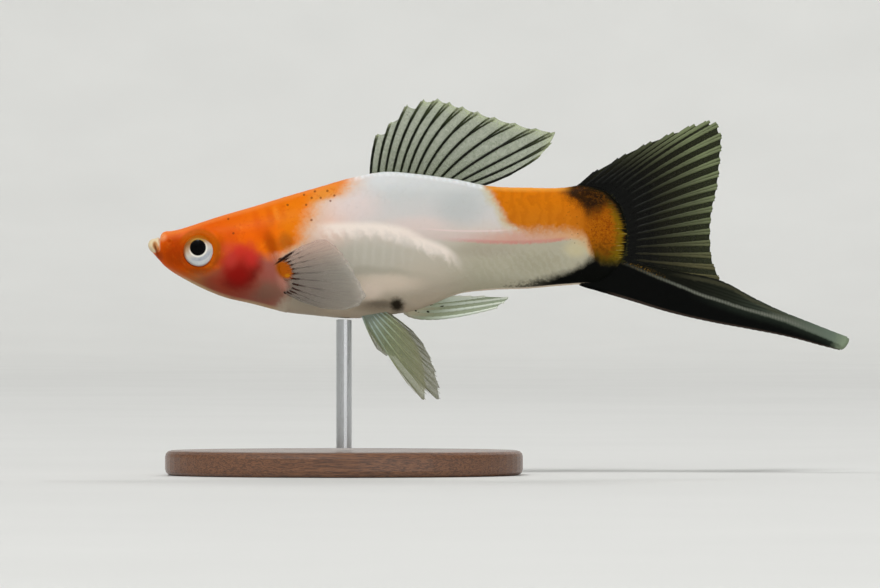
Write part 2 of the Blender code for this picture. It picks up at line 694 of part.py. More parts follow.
def make_stand():
    bpy.ops.mesh.primitive_cylinder_add(vertices=72, radius=1, depth=1)
    base = bpy.context.object
    base.name = "stand_base"
    for vertex in base.data.vertices:
        x, y, z = vertex.co
        vertex.co = (
            x * BASE_LENGTH / 2 * MM, y * BASE_WIDTH / 2 * MM, (z + 0.5) * BASE_THICK * MM
        )
    bevel = base.modifiers.new("Bevel", "BEVEL")
    bevel.width, bevel.segments = BASE_BEVEL * MM, 3
    bevel.limit_method = "ANGLE"
    base.data.materials.append(material("walnut"))
    soften(base)

    foot = BASE_THICK + GAP
    top = EYE_LINE_Z + float(belly_height(-LIP_X)[0]) + SINK
    bpy.ops.mesh.primitive_cylinder_add(
        vertices=32, radius=ROD_RADIUS * MM, depth=(top - foot) * MM
    )
    rod = bpy.context.object
    rod.name = "stand_rod"
    for vertex in rod.data.vertices:
        vertex.co.z += (top + foot) / 2 * MM
    rod.data.materials.append(material("steel"))
    boolean(rod, "DIFFERENCE", [trimming_body()])
    soften(rod)


def main():
    for obj in list(bpy.data.objects):
        bpy.data.objects.remove(obj)
    make_head()
    make_torso()
    make_tail_stalk()
    make_eyes()
    make_dorsal_fin()
    make_tail_fin()
    make_sword()
    make_gonopodium()
    make_pectoral_fins()
    make_pelvic_fins()
    make_stand()


main()
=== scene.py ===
"""Looks of a male swordtail, life size, held by a plain display stand.

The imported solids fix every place. Fish coordinates are millimetres: x runs back from the
lip, y out from the middle plane (the left side is negative) and z up from the eye line.
"""

import math

import bmesh
import bpy
import numpy as np
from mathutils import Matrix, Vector

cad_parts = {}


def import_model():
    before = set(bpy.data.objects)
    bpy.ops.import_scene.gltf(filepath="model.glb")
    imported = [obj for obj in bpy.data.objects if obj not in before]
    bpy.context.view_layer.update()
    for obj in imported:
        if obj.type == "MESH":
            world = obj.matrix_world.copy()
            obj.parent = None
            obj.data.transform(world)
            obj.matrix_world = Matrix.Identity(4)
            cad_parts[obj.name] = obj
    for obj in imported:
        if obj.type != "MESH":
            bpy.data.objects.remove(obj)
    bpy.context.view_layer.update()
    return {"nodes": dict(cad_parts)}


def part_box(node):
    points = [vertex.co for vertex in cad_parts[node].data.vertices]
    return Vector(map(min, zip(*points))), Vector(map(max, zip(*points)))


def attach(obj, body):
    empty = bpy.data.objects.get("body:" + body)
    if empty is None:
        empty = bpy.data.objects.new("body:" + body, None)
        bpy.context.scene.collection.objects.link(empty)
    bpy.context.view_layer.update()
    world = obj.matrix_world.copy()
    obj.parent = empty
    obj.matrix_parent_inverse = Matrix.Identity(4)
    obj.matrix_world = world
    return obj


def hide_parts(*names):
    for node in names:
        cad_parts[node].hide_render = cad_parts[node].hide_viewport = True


MM = 0.001

# The body, as in the solids. Rows run from the front of the lower jaw to the tail root:
# back x, back z, belly x, belly z, half width, height share of the widest level,
# power of the upper curve, power of the lower curve
BODY_ROWS = np.array(
    [
        (-0.33, 0.80, -0.35, 0.42, 0.58, 0.50, 2.0, 2.0),  # front of the lower jaw
        (-0.17, 1.12, -0.22, 0.05, 0.98, 0.50, 2.2, 2.0),
        (0.18, 1.36, 0.00, -0.22, 1.22, 0.50, 2.4, 2.0),  # lower lip
        (0.50, 1.40, 0.24, -0.44, 1.30, 0.50, 2.4, 2.0),
        (0.58, 1.30, 0.38, -0.60, 1.27, 0.50, 2.4, 2.0),  # line of the mouth
        (0.72, 1.48, 0.52, -0.74, 1.42, 0.50, 2.4, 2.0),  # upper lip
        (1.00, 1.52, 0.74, -1.00, 1.56, 0.50, 2.4, 2.0),
        (1.18, 1.30, 0.92, -1.20, 1.56, 0.50, 2.4, 2.0),  # fold behind the lips
        (1.24, 1.74, 1.06, -1.36, 1.66, 0.50, 2.4, 2.0),
        (1.42, 2.08, 1.26, -1.58, 1.80, 0.50, 2.5, 2.0),  # snout
        (1.80, 2.30, 1.62, -1.98, 1.96, 0.50, 2.6, 2.1),
        (2.60, 2.38, 2.30, -2.55, 2.20, 0.52, 2.6, 2.1),
        (3.60, 2.58, 3.10, -3.10, 2.50, 0.54, 2.6, 2.1),
        (5.00, 3.00, 4.40, -3.85, 2.92, 0.56, 2.6, 2.1),
        (6.80, 3.60, 6.30, -4.85, 3.38, 0.57, 2.6, 2.1),  # eye
        (9.30, 4.40, 9.10, -6.02, 3.90, 0.55, 2.4, 2.1),
        (13.1, 5.50, 13.1, -7.00, 4.45, 0.52, 2.2, 2.1),  # gill cover
        (17.0, 6.72, 17.0, -7.98, 4.75, 0.50, 2.1, 2.2),
        (21.5, 8.02, 21.5, -8.55, 4.85, 0.50, 2.1, 2.2),  # widest
        (26.1, 9.32, 26.1, -8.85, 4.80, 0.50, 2.1, 2.2),  # deepest
        (30.0, 10.0, 30.0, -8.48, 4.55, 0.50, 2.1, 2.1),
        (33.9, 9.76, 33.9, -7.85, 4.15, 0.50, 2.1, 2.0),  # vent
        (36.6, 9.42, 36.6, -6.90, 3.82, 0.50, 2.1, 2.0),
        (39.1, 9.05, 39.1, -5.85, 3.50, 0.49, 2.1, 2.1),
        (43.7, 8.15, 43.7, -5.22, 2.95, 0.48, 2.1, 2.2),
        (48.2, 7.98, 48.2, -5.05, 2.40, 0.47, 2.2, 2.2),
        (53.4, 8.02, 53.4, -4.62, 1.80, 0.47, 2.3, 2.3),
        (56.2, 8.50, 56.2, -4.48, 1.38, 0.47, 2.5, 2.5),
        (59.0, 8.65, 59.0, -4.80, 0.92, 0.47, 2.8, 2.8),
        (63.0, 8.65, 63.0, -4.90, 0.48, 0.47, 3.2, 3.2),
    ]
)
GROOVE_ROWS = (4, 7)  # mouth line and lip fold, which fade out towards the chin
SEGMENTS = 192
RING_STEPS = [(0.0, 0.06), (2.4, 0.14), (20.0, 0.32)]  # from this place on, ring spacing
REAR_START, REAR_RINGS = 50.0, 40  # from here the rings bend to the rounded end
COAT_DEPTH = 0.03  # the bare skin lies this far inside the solids

# Rear margin of the gill cover, and the rounded end of the tail stalk, as x and z
COVER_MARGIN = [
    (12.6, 9.0), (13.2, 6.0), (13.9, 3.2), (15.0, 1.3), (15.75, -0.9),
    (16.3, -2.3), (16.95, -3.6), (17.6, -5.0), (17.7, -6.6), (17.0, -9.5),
]
COVER_LIFT, COVER_REACH, COVER_TOP, COVER_FADE = 0.20, 6.0, -0.8, 2.2
STALK_END = [
    (55.1, 8.4), (57.7, 7.8), (59.7, 6.5), (60.9, 4.5), (61.35, 1.95),
    (61.0, -0.65), (60.1, -2.35), (58.6, -3.7), (56.8, -4.7),
]
END_ROUND = 1.1  # the stalk thins over this length to its rounded edge

# Eyes and nostrils
EYE_X, EYE_Z, EYE_Y = 6.28, -0.18, 3.0
EYE_RADIUS, EYE_DEPTH, EYE_TURN = 2.0, 1.05, math.radians(8)
PUPIL_X, PUPIL_Z, PUPIL_RADIUS = 6.16, 0.22, 1.03
NOSTRIL_X, NOSTRIL_Z, NOSTRIL_RADIUS = 2.45, 1.0, 0.2

# Scales
SCALE_COLUMNS, SCALE_ROWS = 66, 16  # columns along the body, scales round each column
SCALE_FROM, SCALE_TO = 0.13, 0.955  # roots of the first and last column, along the skin
SCALE_LENGTH, SCALE_WIDTH = 0.040, 1.20  # along the skin; of two rows' height
SCALE_RISE, SCALE_SINK, SCALE_THICK = 0.026, 0.016, 0.03
SCALE_STEPS = (0.0, 0.40, 0.75, 0.95, 1.0)  # rows of points from root to tip
SCALE_RECEDE = 0.36  # how far a scale's corners fall behind its tip, of its length
LAST_U = 0.9895  # just inside the last ring of the skin on its map
BAKE_PATCH = 0.003  # width of one scale's patch on the baking map

# Fins, as in the solids: shares of the rays, then x and z of the tips
DORSAL_ROOT = (28.6, 40.3)
DORSAL_TIPS = [
    (0.00, 29.1, 14.9), (0.08, 30.9, 16.5), (0.16, 33.1, 18.8), (0.24, 35.3, 19.4),
    (0.46, 40.0, 18.4), (0.62, 44.3, 17.0), (0.77, 49.5, 15.6), (0.85, 52.0, 15.1),
    (0.92, 51.6, 13.8), (1.00, 50.1, 12.1),
]
DORSAL_BOW = [(0.0, 0.05), (0.7, 0.055), (0.85, 0.0), (1.0, -0.06)]
TAIL_ROOT_SHARE = 0.70
TAIL_TIPS = [
    (0.00, 57.0, 9.9), (0.08, 62.4, 12.9), (0.16, 67.0, 14.9), (0.24, 70.9, 16.3),
    (0.30, 72.6, 16.4), (0.36, 73.3, 14.9), (0.46, 73.2, 11.9), (0.58, 72.8, 8.1),
    (0.70, 72.1, 4.8), (0.82, 71.9, 1.5), (0.92, 72.2, -1.5), (1.00, 73.1, -3.75),
]
TAIL_BOW = [(0.0, 0.0), (0.1, 0.0), (0.3, 0.03), (0.6, 0.02), (1.0, -0.01)]
SWORD_UPPER = [
    (60.6, -1.75), (67.2, -3.0), (73.6, -4.4), (77.2, -6.3), (80.8, -8.0),
    (84.5, -9.45), (88.0, -10.8), (89.9, -11.5),
]
SWORD_LOWER = [
    (56.9, -4.85), (61.4, -6.2), (66.6, -7.8), (71.8, -9.05), (77.0, -10.05),
    (82.1, -11.1), (86.5, -12.3), (89.0, -12.95),
]
GONOPODIUM_ROOT = (33.7, 37.6)
GONOPODIUM_TIPS = [
    (0.0, 44.5, -7.4), (0.2, 45.4, -6.75), (0.4, 45.9, -6.2), (0.6, 42.9, -6.05),
    (0.8, 41.2, -6.05), (1.0, 39.9, -6.05),
]
GONOPODIUM_BOW = [(0.0, -0.11), (0.2, -0.06), (0.4, -0.02), (1.0, 0.0)]
GONOPODIUM_SKEW = 0.6
PECTORAL_AT = (16.95, 4.62, -2.5)
PECTORAL_OUT, PECTORAL_LEAN = math.radians(22), math.radians(9)
PECTORAL_ROOT = [(0.0, 0.0, 0.8), (0.5, 0.1, -0.7), (1.0, 0.9, -2.7)]
PECTORAL_TIPS = [
    (0.00, 2.4, 2.8), (0.14, 5.4, 3.7), (0.28, 7.5, 2.5), (0.42, 8.9, 0.8),
    (0.56, 10.2, -1.4), (0.68, 11.3, -3.8), (0.80, 9.2, -5.3), (0.90, 5.8, -5.3),
    (1.00, 2.4, -4.4),
]
PECTORAL_BOW = [(0.0, 0.0), (0.2, 0.02), (0.5, 0.0), (0.8, -0.03), (1.0, 0.0)]
PELVIC_AT = (28.3, 1.25, -8.3)
PELVIC_OUT = math.radians(15)
PELVIC_DROP_LEFT, PELVIC_DROP_RIGHT = math.radians(54), math.radians(48)
PELVIC_ROOT = [(0.0, 0.0, -0.75), (1.0, 0.0, 0.85)]
PELVIC_TIPS = [
    (0.00, 4.1, -2.0), (0.17, 12.9, -1.1), (0.34, 12.1, 0.2), (0.50, 10.4, 1.2),
    (0.67, 8.7, 1.9), (0.84, 6.8, 2.4), (1.00, 4.9, 2.5),
]
PELVIC_BOW = [(0.0, -0.04), (0.3, -0.03), (1.0, 0.04)]
PELVIC_LENGTH_RIGHT = 1.09
ROOT_SINK = 1.2  # a fin's root starts this far inside the body

# The photograph: millimetres a pixel, the frame's middle, and where the eye line is
PIXEL = 0.1285
PHOTO_WIDTH, PHOTO_MIDDLE = 880, (440, 294)
LIP_PIXEL, EYE_LINE_PIXEL = 151, 249.5
CAMERA_AWAY = 900.0  # mm

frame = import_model()
eye_low, eye_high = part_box("eye_left")
ORIGIN = np.array((eye_low + eye_high) / 2) / MM - (EYE_X, 0, EYE_Z)
ORIGIN[1] = 0.0


def world(points):
    """Fish millimetres to metres in the frame."""
    return (np.asarray(points) + ORIGIN) * MM


def curve_through(knots, rows, at):
    """Smooth curve through rows of values placed at knots, read at the places in at."""
    knots, rows = np.asarray(knots, float), np.asarray(rows, float)
    slopes = np.gradient(rows, knots, axis=0)
    at = np.clip(np.atleast_1d(np.asarray(at, float)), knots[0], knots[-1])
    i = np.clip(np.searchsorted(knots, at) - 1, 0, len(knots) - 2)
    span = knots[i + 1] - knots[i]
    t = (at - knots[i]) / span
    if rows.ndim > 1:
        t, span = t[..., None], span[..., None]
    return (
        rows[i] * (2 * t**3 - 3 * t**2 + 1)
        + rows[i + 1] * (3 * t**2 - 2 * t**3)
        + slopes[i] * span * (t**3 - 2 * t**2 + t)
        + slopes[i + 1] * span * (t**3 - t**2)
    )


def by_share(table, share):
    """Reads a table whose first column is the share of the rays."""
    table = np.array(table)
    return curve_through(table[:, 0], table[:, 1:], share)


def along(points, share):
    """Points at these shares of the length of the smooth curve through points."""
    points = np.array(points)
    steps = np.linalg.norm(np.diff(points, axis=0), axis=1)
    knots = np.concatenate([[0], np.cumsum(steps)])
    return curve_through(knots, points, np.asarray(share) * knots[-1])


def ease(values, start, end):
    """Smooth step from 0 at start to 1 at end."""
    t = np.clip((values - start) / (end - start), 0, 1)
    return t * t * (3 - 2 * t)


# Node trees


def paint(red, green, blue):
    """A colour as seen on a screen, 0 to 255, as linear values."""
    linear = [
        c / 12.92 if c <= 0.04045 else ((c + 0.055) / 1.055) ** 2.4
        for c in (red / 255, green / 255, blue / 255)
    ]
    return (*linear, 1.0)


class Wire:
    """An output in a node tree. Arithmetic on it adds Math nodes to the same tree."""

    def __init__(self, nodes, socket):
        self.nodes, self.socket = nodes, socket

    def math(self, operation, *values):
        return self.nodes.add(
            "ShaderNodeMath", {"operation": operation}, dict(enumerate(values))
        )

    def __add__(self, other):
        return self.math("ADD", self, other)

    def __sub__(self, other):
        return self.math("SUBTRACT", self, other)

    def __rsub__(self, other):
        return self.math("SUBTRACT", other, self)

    def __mul__(self, other):
        return self.math("MULTIPLY", self, other)

    def __truediv__(self, other):
        return self.math("DIVIDE", self, other)

    def __pow__(self, power):
        return self.math("POWER", self, power)

    def __abs__(self):
        return self.math("ABSOLUTE", self)

    __radd__, __rmul__ = __add__, __mul__

    def least(self, other):
        return self.math("MINIMUM", self, other)

    def most(self, other):
        return self.math("MAXIMUM", self, other)

    def rise(self, start, end):
        """Smooth step from 0 at start to 1 at end."""
        settings = {"interpolation_type": "SMOOTHSTEP"}
        return self.nodes.add("ShaderNodeMapRange", settings, {0: self, 1: start, 2: end})

    def band(self, middle, half, soft):
        """1 within half of middle, fading to 0 over soft."""
        return abs(self - middle).rise(half + soft, half)

    def curve(self, points):
        """The value of a smooth curve through points, read at this value."""
        (x0, y0), (x1, y1) = np.min(points, axis=0), np.max(points, axis=0)
        share = self.nodes.add("ShaderNodeMapRange", {}, {0: self, 1: x0, 2: x1})
        scaled = [((x - x0) / (x1 - x0), (y - y0) / (y1 - y0)) for x, y in points]
        read = self.nodes.add("ShaderNodeFloatCurve", {"points": scaled}, {1: share})
        return read * (y1 - y0) + y0


class Nodes:
    """One node tree, and the way nodes are added to it."""

    def __init__(self, tree):
        self.tree = tree

    def add(self, kind, settings=None, inputs=None, output=0):
        node = self.tree.nodes.new(kind)
        for key, value in (settings or {}).items():
            if key == "stops":
                self.fill_ramp(node.color_ramp, value)
            elif key == "points":
                self.fill_curve(node.mapping, value)
            else:
                setattr(node, key, value)
        for key, value in (inputs or {}).items():
            if isinstance(value, Wire):
                self.tree.links.new(value.socket, node.inputs[key])
            else:
                node.inputs[key].default_value = value
        return Wire(self, node.outputs[output])

    @staticmethod
    def fill_ramp(ramp, stops):
        while len(ramp.elements) < len(stops):
            ramp.elements.new(1.0)
        for element, (place, colour) in zip(ramp.elements, stops):
            element.position, element.color = place, colour

    @staticmethod
    def fill_curve(mapping, points):
        line = mapping.curves[0].points
        while len(line) < len(points):
            line.new(0.5, 0.5)
        for point, place in zip(line, points):
            point.location = place
            point.handle_type = "AUTO_CLAMPED"
        mapping.update()

    def add_output(self, geometry):
        end = self.tree.nodes.new("NodeGroupOutput")
        self.tree.links.new(geometry.socket, end.inputs[0])

    def mix(self, factor, a, b, blend="MIX"):
        settings = {"data_type": "RGBA", "blend_type": blend}
        return self.add("ShaderNodeMix", settings, {0: factor, 6: a, 7: b}, 2)

    def ramp(self, factor, stops):
        return self.add("ShaderNodeValToRGB", {"stops": stops}, {0: factor})

    def noise(self, vector, scale, detail=2.0, rough=0.5):
        return self.add(
            "ShaderNodeTexNoise", {},
            {"Vector": vector, "Scale": scale, "Detail": detail, "Roughness": rough},
        )

    def dots(self, vector, scale, size, soft):
        """Round spots of a random pattern, 1 inside and 0 outside."""
        away = self.add("ShaderNodeTexVoronoi", {}, {"Vector": vector, "Scale": scale})
        return away.rise(size + soft, size)

    def fish_place(self):
        """The place in fish millimetres, as a vector and as x, y and z."""
        place = self.add("ShaderNodeTexCoord", output="Object")
        scaled = self.add(
            "ShaderNodeVectorMath", {"operation": "SCALE"}, {0: place, "Scale": 1 / MM}
        )
        fish = self.add(
            "ShaderNodeVectorMath", {"operation": "SUBTRACT"}, {0: scaled, 1: tuple(ORIGIN)}
        )
        axes = [self.add("ShaderNodeSeparateXYZ", {}, {0: fish}, i) for i in range(3)]
        return fish, *axes

    def spot(self, x, z, middle, radii, turn=0.0):
        """Distance from an ellipse's middle in the side view, 1 on its edge."""
        c, s = math.cos(turn), math.sin(turn)
        dx, dz = x - middle[0], z - middle[1]
        a = (dx * c + dz * s) / radii[0]
        b = (dz * c - dx * s) / radii[1]
        return (a * a + b * b) ** 0.5


def finish(name, values, colour, rough=None, bump=None, alpha=None):
    """A material of one shader: fixed values, and what nodes drive, as Wires."""
    made = bpy.data.materials[name]
    nodes, shader = colour.nodes, made.node_tree.nodes["Principled BSDF"]
    for key, value in values.items():
        shader.inputs[key].default_value = value
    driven = {"Base Color": colour, "Roughness": rough, "Alpha": alpha}
    if bump:
        height, depth = bump
        driven["Normal"] = nodes.add(
            "ShaderNodeBump", {}, {"Height": height, "Distance": depth * MM}
        )
    for key, value in driven.items():
        if value is not None:
            nodes.tree.links.new(value.socket, shader.inputs[key])
    return made


def new_material(name):
    made = bpy.data.materials.new(name)
    made.use_nodes = True
    return Nodes(made.node_tree)


# Meshes


def new_object(name, points, faces, material=None):
    """A mesh of fish points, shaded smooth."""
    mesh = bpy.data.meshes.new(name)
    mesh.from_pydata(world(points).reshape(-1, 3).tolist(), [], faces)
    made = bpy.data.objects.new(name, mesh)
    bpy.context.scene.collection.objects.link(made)
    mesh.shade_smooth()
    if material:
        mesh.materials.append(bpy.data.materials[material])
    return made


def store(mesh, name, kind, domain, values):
    """A named attribute of the mesh."""
    attribute = mesh.attributes.new(name, kind, domain)
    field = {"FLOAT": "value", "FLOAT2": "vector", "FLOAT_VECTOR": "vector"}[kind]
    attribute.data.foreach_set(field, np.asarray(values, np.float32).ravel())


def fitted(piece, slot, *nodes):
    """Lets a finished piece ride on the fish in the place of these nodes."""
    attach(piece, "root")
    if nodes:
        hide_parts(*nodes)
    return piece


# Skin


def body_knots():
    """Distance along the body of each row, the mean of its back and belly paths."""
    back, belly = np.diff(BODY_ROWS[:, 0:2], axis=0), np.diff(BODY_ROWS[:, 2:4], axis=0)
    steps = (np.linalg.norm(back, axis=1) + np.linalg.norm(belly, axis=1)) / 2
    return np.concatenate([[0], np.cumsum(steps)])


def filled_rows(grooves):
    """The rows with these grooves filled."""
    rows = BODY_ROWS.copy()
    for i in grooves:
        rows[i, [0, 1, 2, 3, 4]] = (rows[i - 1, :5] + rows[i + 1, :5]) / 2
    return rows


def body_points(places, angles):
    """Points of the body at these places along it and angles round it."""
    places, angles = np.broadcast_arrays(places, angles)
    knots, s = body_knots(), np.sin(angles)
    chin, crown = ease(-s, 0.1, 0.7)[..., None], ease(s, 0.35, 0.8)[..., None]
    parts = ((BODY_ROWS, 1 - chin - crown), (filled_rows(GROOVE_ROWS), chin),
             (filled_rows(GROOVE_ROWS[:1]), crown))
    row = sum(
        curve_through(knots, rows, places.ravel()).reshape(*places.shape, 8) * part
        for rows, part in parts
    )
    back_x, back_z, belly_x, belly_z, half, widest, upper, lower = np.moveaxis(row, -1, 0)
    power = np.where(s > 0, upper, lower)
    c = np.cos(angles)
    out = np.sign(c) * np.abs(c) ** (2 / power)
    rise = np.abs(s) ** (2 / power)
    share = np.where(s > 0, widest + (1 - widest) * rise, widest * (1 - rise))
    x = belly_x + (back_x - belly_x) * share
    z = belly_z + (back_z - belly_z) * share
    return np.stack([x, half * out, z], axis=-1)


def place_at(x):
    """Place along the body where it reaches x, behind the vent."""
    places = np.linspace(0, body_knots()[-1], 4000)
    return np.interp(x, curve_through(body_knots(), BODY_ROWS[:, 0], places), places)


def stalk_end(z):
    """Where the rounded end of the tail stalk is, at height z."""
    x, height = np.array(STALK_END)[::-1].T
    return curve_through(height, x, z.ravel()).reshape(z.shape)


def skin_rings():
    """The bare grid of the skin: rings of points from the jaw to the rounded end."""
    angles = np.linspace(-0.5 * math.pi, 1.5 * math.pi, SEGMENTS, endpoint=False)
    end, places = float(place_at(REAR_START)), []
    at = 0.0
    while at < end:
        places.append(at)
        at += [step for start, step in RING_STEPS if start <= at][-1]
    front = body_points(np.array(places)[:, None], angles[None, :])

    share = np.linspace(0, 1, REAR_RINGS + 1)[:, None]
    x = REAR_START + (stalk_end(np.zeros(SEGMENTS))[None, :] - REAR_START) * share
    for _ in range(16):
        z = body_points(place_at(x), angles[None, :])[..., 2]
        x = (x + REAR_START + (stalk_end(z) - REAR_START) * share) / 2
    rear = body_points(place_at(x), angles[None, :])
    left = np.clip((stalk_end(rear[..., 2]) - rear[..., 0]) / END_ROUND, 0, 1)
    rear[..., 1] *= 0.12 + 0.88 * np.sqrt(1 - (1 - left) ** 2)
    return np.concatenate([front, rear])


def grid_normals(grid):
    """Outward directions of a grid of rings."""
    run = np.gradient(grid, axis=0)
    turn = np.roll(grid, -1, axis=1) - np.roll(grid, 1, axis=1)
    normal = np.cross(turn, run)
    normal /= np.linalg.norm(normal, axis=2, keepdims=True) + 1e-9
    outward = grid - grid.mean(axis=1, keepdims=True)
    sign = np.sign((normal * outward).sum(axis=2).mean())
    return normal * sign


def cover_relief(grid):
    """The gill cover rises to its margin, with a fine groove behind it."""
    margin = np.array(COVER_MARGIN)[::-1]
    at = curve_through(margin[:, 1], margin[:, 0], grid[..., 2].ravel())
    ahead = at.reshape(grid.shape[:-1]) - grid[..., 0]
    rise = np.clip(1 - ahead / COVER_REACH, 0, 1) ** 2 * COVER_LIFT
    rise *= ease(ahead, -0.30, 0.05)
    groove = 0.09 * np.exp(-(((ahead + 0.38) / 0.22) ** 2))
    plate = 0.05 * np.exp(-(((ahead - 3.6) / 0.25) ** 2)) * ease(-grid[..., 2], -0.5, 2.0)
    fade = np.clip((COVER_TOP + COVER_FADE - grid[..., 2]) / COVER_FADE, 0, 1)
    side = ease(np.abs(grid[..., 1]), 0.3, 1.2)
    return (rise - groove - plate) * fade * side


def eye_frame(side):
    """Middle of an eye, and its directions back along the head, up and out."""
    c, s = math.cos(EYE_TURN), math.sin(EYE_TURN)
    middle = np.array((EYE_X, side * EYE_Y, EYE_Z))
    return middle, np.array((c, side * s, 0)), np.array((0, 0, 1)), np.array((-s, side * c, 0))


def sink_eyes(grid):
    """Opens a socket round each eye, with a rounded rim of skin."""
    for side in (-1, 1):
        middle, back, up, out = eye_frame(side)
        place = grid - middle
        away = np.hypot(place @ back, place @ up)
        near = (grid[..., 1] * side > 0.8) * 1.0
        hole = 0.95 * (1 - ease(away, 1.50, 1.90))
        rim = 0.12 * np.exp(-(((away - 2.34) / 0.26) ** 2))
        moat = 0.07 * np.exp(-(((away - 2.98) / 0.26) ** 2))
        grid += ((rim - hole - moat) * near)[..., None] * out


def head_pits(grid):
    """Nostrils, as depths."""
    away = np.hypot(grid[..., 0] - NOSTRIL_X, grid[..., 2] - NOSTRIL_Z)
    rim = 0.05 * np.exp(-(((away - NOSTRIL_RADIUS * 1.7) / 0.1) ** 2))
    pit = 0.26 * np.exp(-((away / NOSTRIL_RADIUS) ** 2))
    side = ease(np.abs(grid[..., 1]), 0.4, 1.0)
    return (rim - pit) * side


def coat_height(grid):
    """How far scales stand up, as a share: none on the head and the gill cover."""
    x, z = grid[..., 0], grid[..., 2]
    nape = ease(x, 12.0, 19.0)
    margin = np.array(COVER_MARGIN)[::-1]
    at = curve_through(margin[:, 1], margin[:, 0], z.ravel()).reshape(z.shape)
    behind = ease(x - at, 0.3, 3.0)
    upper = ease(z, 2.2, 4.0)
    return np.clip(upper * nape + (1 - upper) * behind, 0, 1)


def skin_mesh():
    """The skin of head, trunk and tail stalk in one closed piece, with its baking map."""
    grid = skin_rings()
    coat = coat_height(grid)
    normal = grid_normals(grid)
    grid = grid + normal * (cover_relief(grid) + head_pits(grid) - COAT_DEPTH * coat)[..., None]
    sink_eyes(grid)

    rings, segments = grid.shape[:2]
    points = np.concatenate([grid.reshape(-1, 3), [grid[0].mean(0)], [grid[-1].mean(0)]])
    first, last = rings * segments, rings * segments + 1
    length = np.concatenate(
        [[0], np.cumsum(np.linalg.norm(np.diff(grid, axis=0), axis=2).mean(axis=1))]
    )
    u = 0.01 + 0.98 * length / length[-1]
    closed = np.concatenate([grid, grid[:, :1]], axis=1)
    girth = np.cumsum(np.linalg.norm(np.diff(closed, axis=1), axis=2), axis=1)
    v = np.concatenate([np.zeros((rings, 1)), girth / girth[:, -1:]], axis=1)

    faces, places = [], []
    for i in range(rings - 1):
        for j in range(segments):
            k = (j + 1) % segments
            a, b = i * segments + j, i * segments + k
            faces.append((a, a + segments, b + segments, b))
            places += [(u[i], v[i, j]), (u[i + 1], v[i + 1, j])]
            places += [(u[i + 1], v[i + 1, j + 1]), (u[i], v[i, j + 1])]
    for j in range(segments):
        k, end = (j + 1) % segments, (rings - 1) * segments
        faces.append((first, j, k))
        middle = (v[0, j] + v[0, j + 1]) / 2
        places += [(0.0, middle), (u[0], v[0, j]), (u[0], v[0, j + 1])]
        faces.append((last, end + k, end + j))
        middle = (v[-1, j] + v[-1, j + 1]) / 2
        places += [(1.0, middle), (u[-1], v[-1, j + 1]), (u[-1], v[-1, j])]
    skin = new_object("skin", points, faces, "skin")
    store(skin.data, "OFBake", "FLOAT2", "CORNER", places)
    store(skin.data, "coat", "FLOAT", "POINT", np.concatenate([coat.ravel(), [0, 0]]))
    work = bmesh.new()
    work.from_mesh(skin.data)
    if work.calc_volume(signed=True) < 0:
        bmesh.ops.reverse_faces(work, faces=work.faces)
    work.to_mesh(skin.data)
    work.free()
    return skin


# Scales, laid out on the skin's own map and wrapped over it


def scale_plate():
    """One scale on the unit square, root at x = 0: a closed plate of few faces."""
    rows, columns = len(SCALE_STEPS), 5
    top, bottom = [], []
    for a in SCALE_STEPS:
        for j in range(columns):
            b = 2 * j / (columns - 1) - 1
            x = a * (1 - SCALE_RECEDE * (1 - math.sqrt(max(0.0, 1 - b * b * 0.98))))
            height = -SCALE_SINK + (SCALE_RISE + SCALE_SINK) * a**1.3 * (1 - 0.35 * b * b)
            top.append((x, b / 2, height * MM))
            bottom.append((x, b / 2, (height - SCALE_THICK) * MM))
    faces, back = [], rows * columns
    for i in range(rows - 1):
        for j in range(columns - 1):
            a = i * columns + j
            quad = (a, a + columns, a + columns + 1, a + 1)
            faces.append(quad)
    rim = [j for j in range(columns)] + [i * columns + columns - 1 for i in range(1, rows)]
    rim += [(rows - 1) * columns + j for j in range(columns - 2, -1, -1)]
    rim += [i * columns for i in range(rows - 2, 0, -1)]
    faces += [(a, b, back + b, back + a) for a, b in zip(rim, rim[1:] + rim[:1])]
    faces.append(tuple(back + a for a in rim))
    mesh = bpy.data.meshes.new("scale_plate")
    mesh.from_pydata(top + bottom, [], faces)
    work = bmesh.new()
    work.from_mesh(mesh)
    loose = [vertex for vertex in work.verts if not vertex.link_faces]
    bmesh.ops.delete(work, geom=loose, context="VERTS")
    bmesh.ops.recalc_face_normals(work, faces=work.faces)
    for edge in work.edges:
        edge.smooth = edge.calc_face_angle(0) < 1.0
    work.to_mesh(mesh)
    work.free()
    plate = bpy.data.objects.new("scale_plate", mesh)
    bpy.context.scene.collection.objects.link(plate)
    return plate


def new_tree(name, sockets):
    """A Geometry Nodes tree with these inputs, and its group input."""
    tree = bpy.data.node_groups.new(name, "GeometryNodeTree")
    tree.interface.new_socket("Geometry", in_out="INPUT", socket_type="NodeSocketGeometry")
    for label, kind in sockets:
        tree.interface.new_socket(label, in_out="INPUT", socket_type="NodeSocket" + kind)
    tree.interface.new_socket("Geometry", in_out="OUTPUT", socket_type="NodeSocketGeometry")
    nodes = Nodes(tree)
    group = tree.nodes.new("NodeGroupInput")
    return nodes, {socket.name: Wire(nodes, socket) for socket in group.outputs if socket.name}


def close_tree(nodes, geometry, material):
    """Ends a tree: instances realized and the finish set."""
    real = nodes.add("GeometryNodeRealizeInstances", {}, {0: geometry})
    done = nodes.add("GeometryNodeSetMaterial", {}, {0: real, "Material": material})
    nodes.add_output(done)


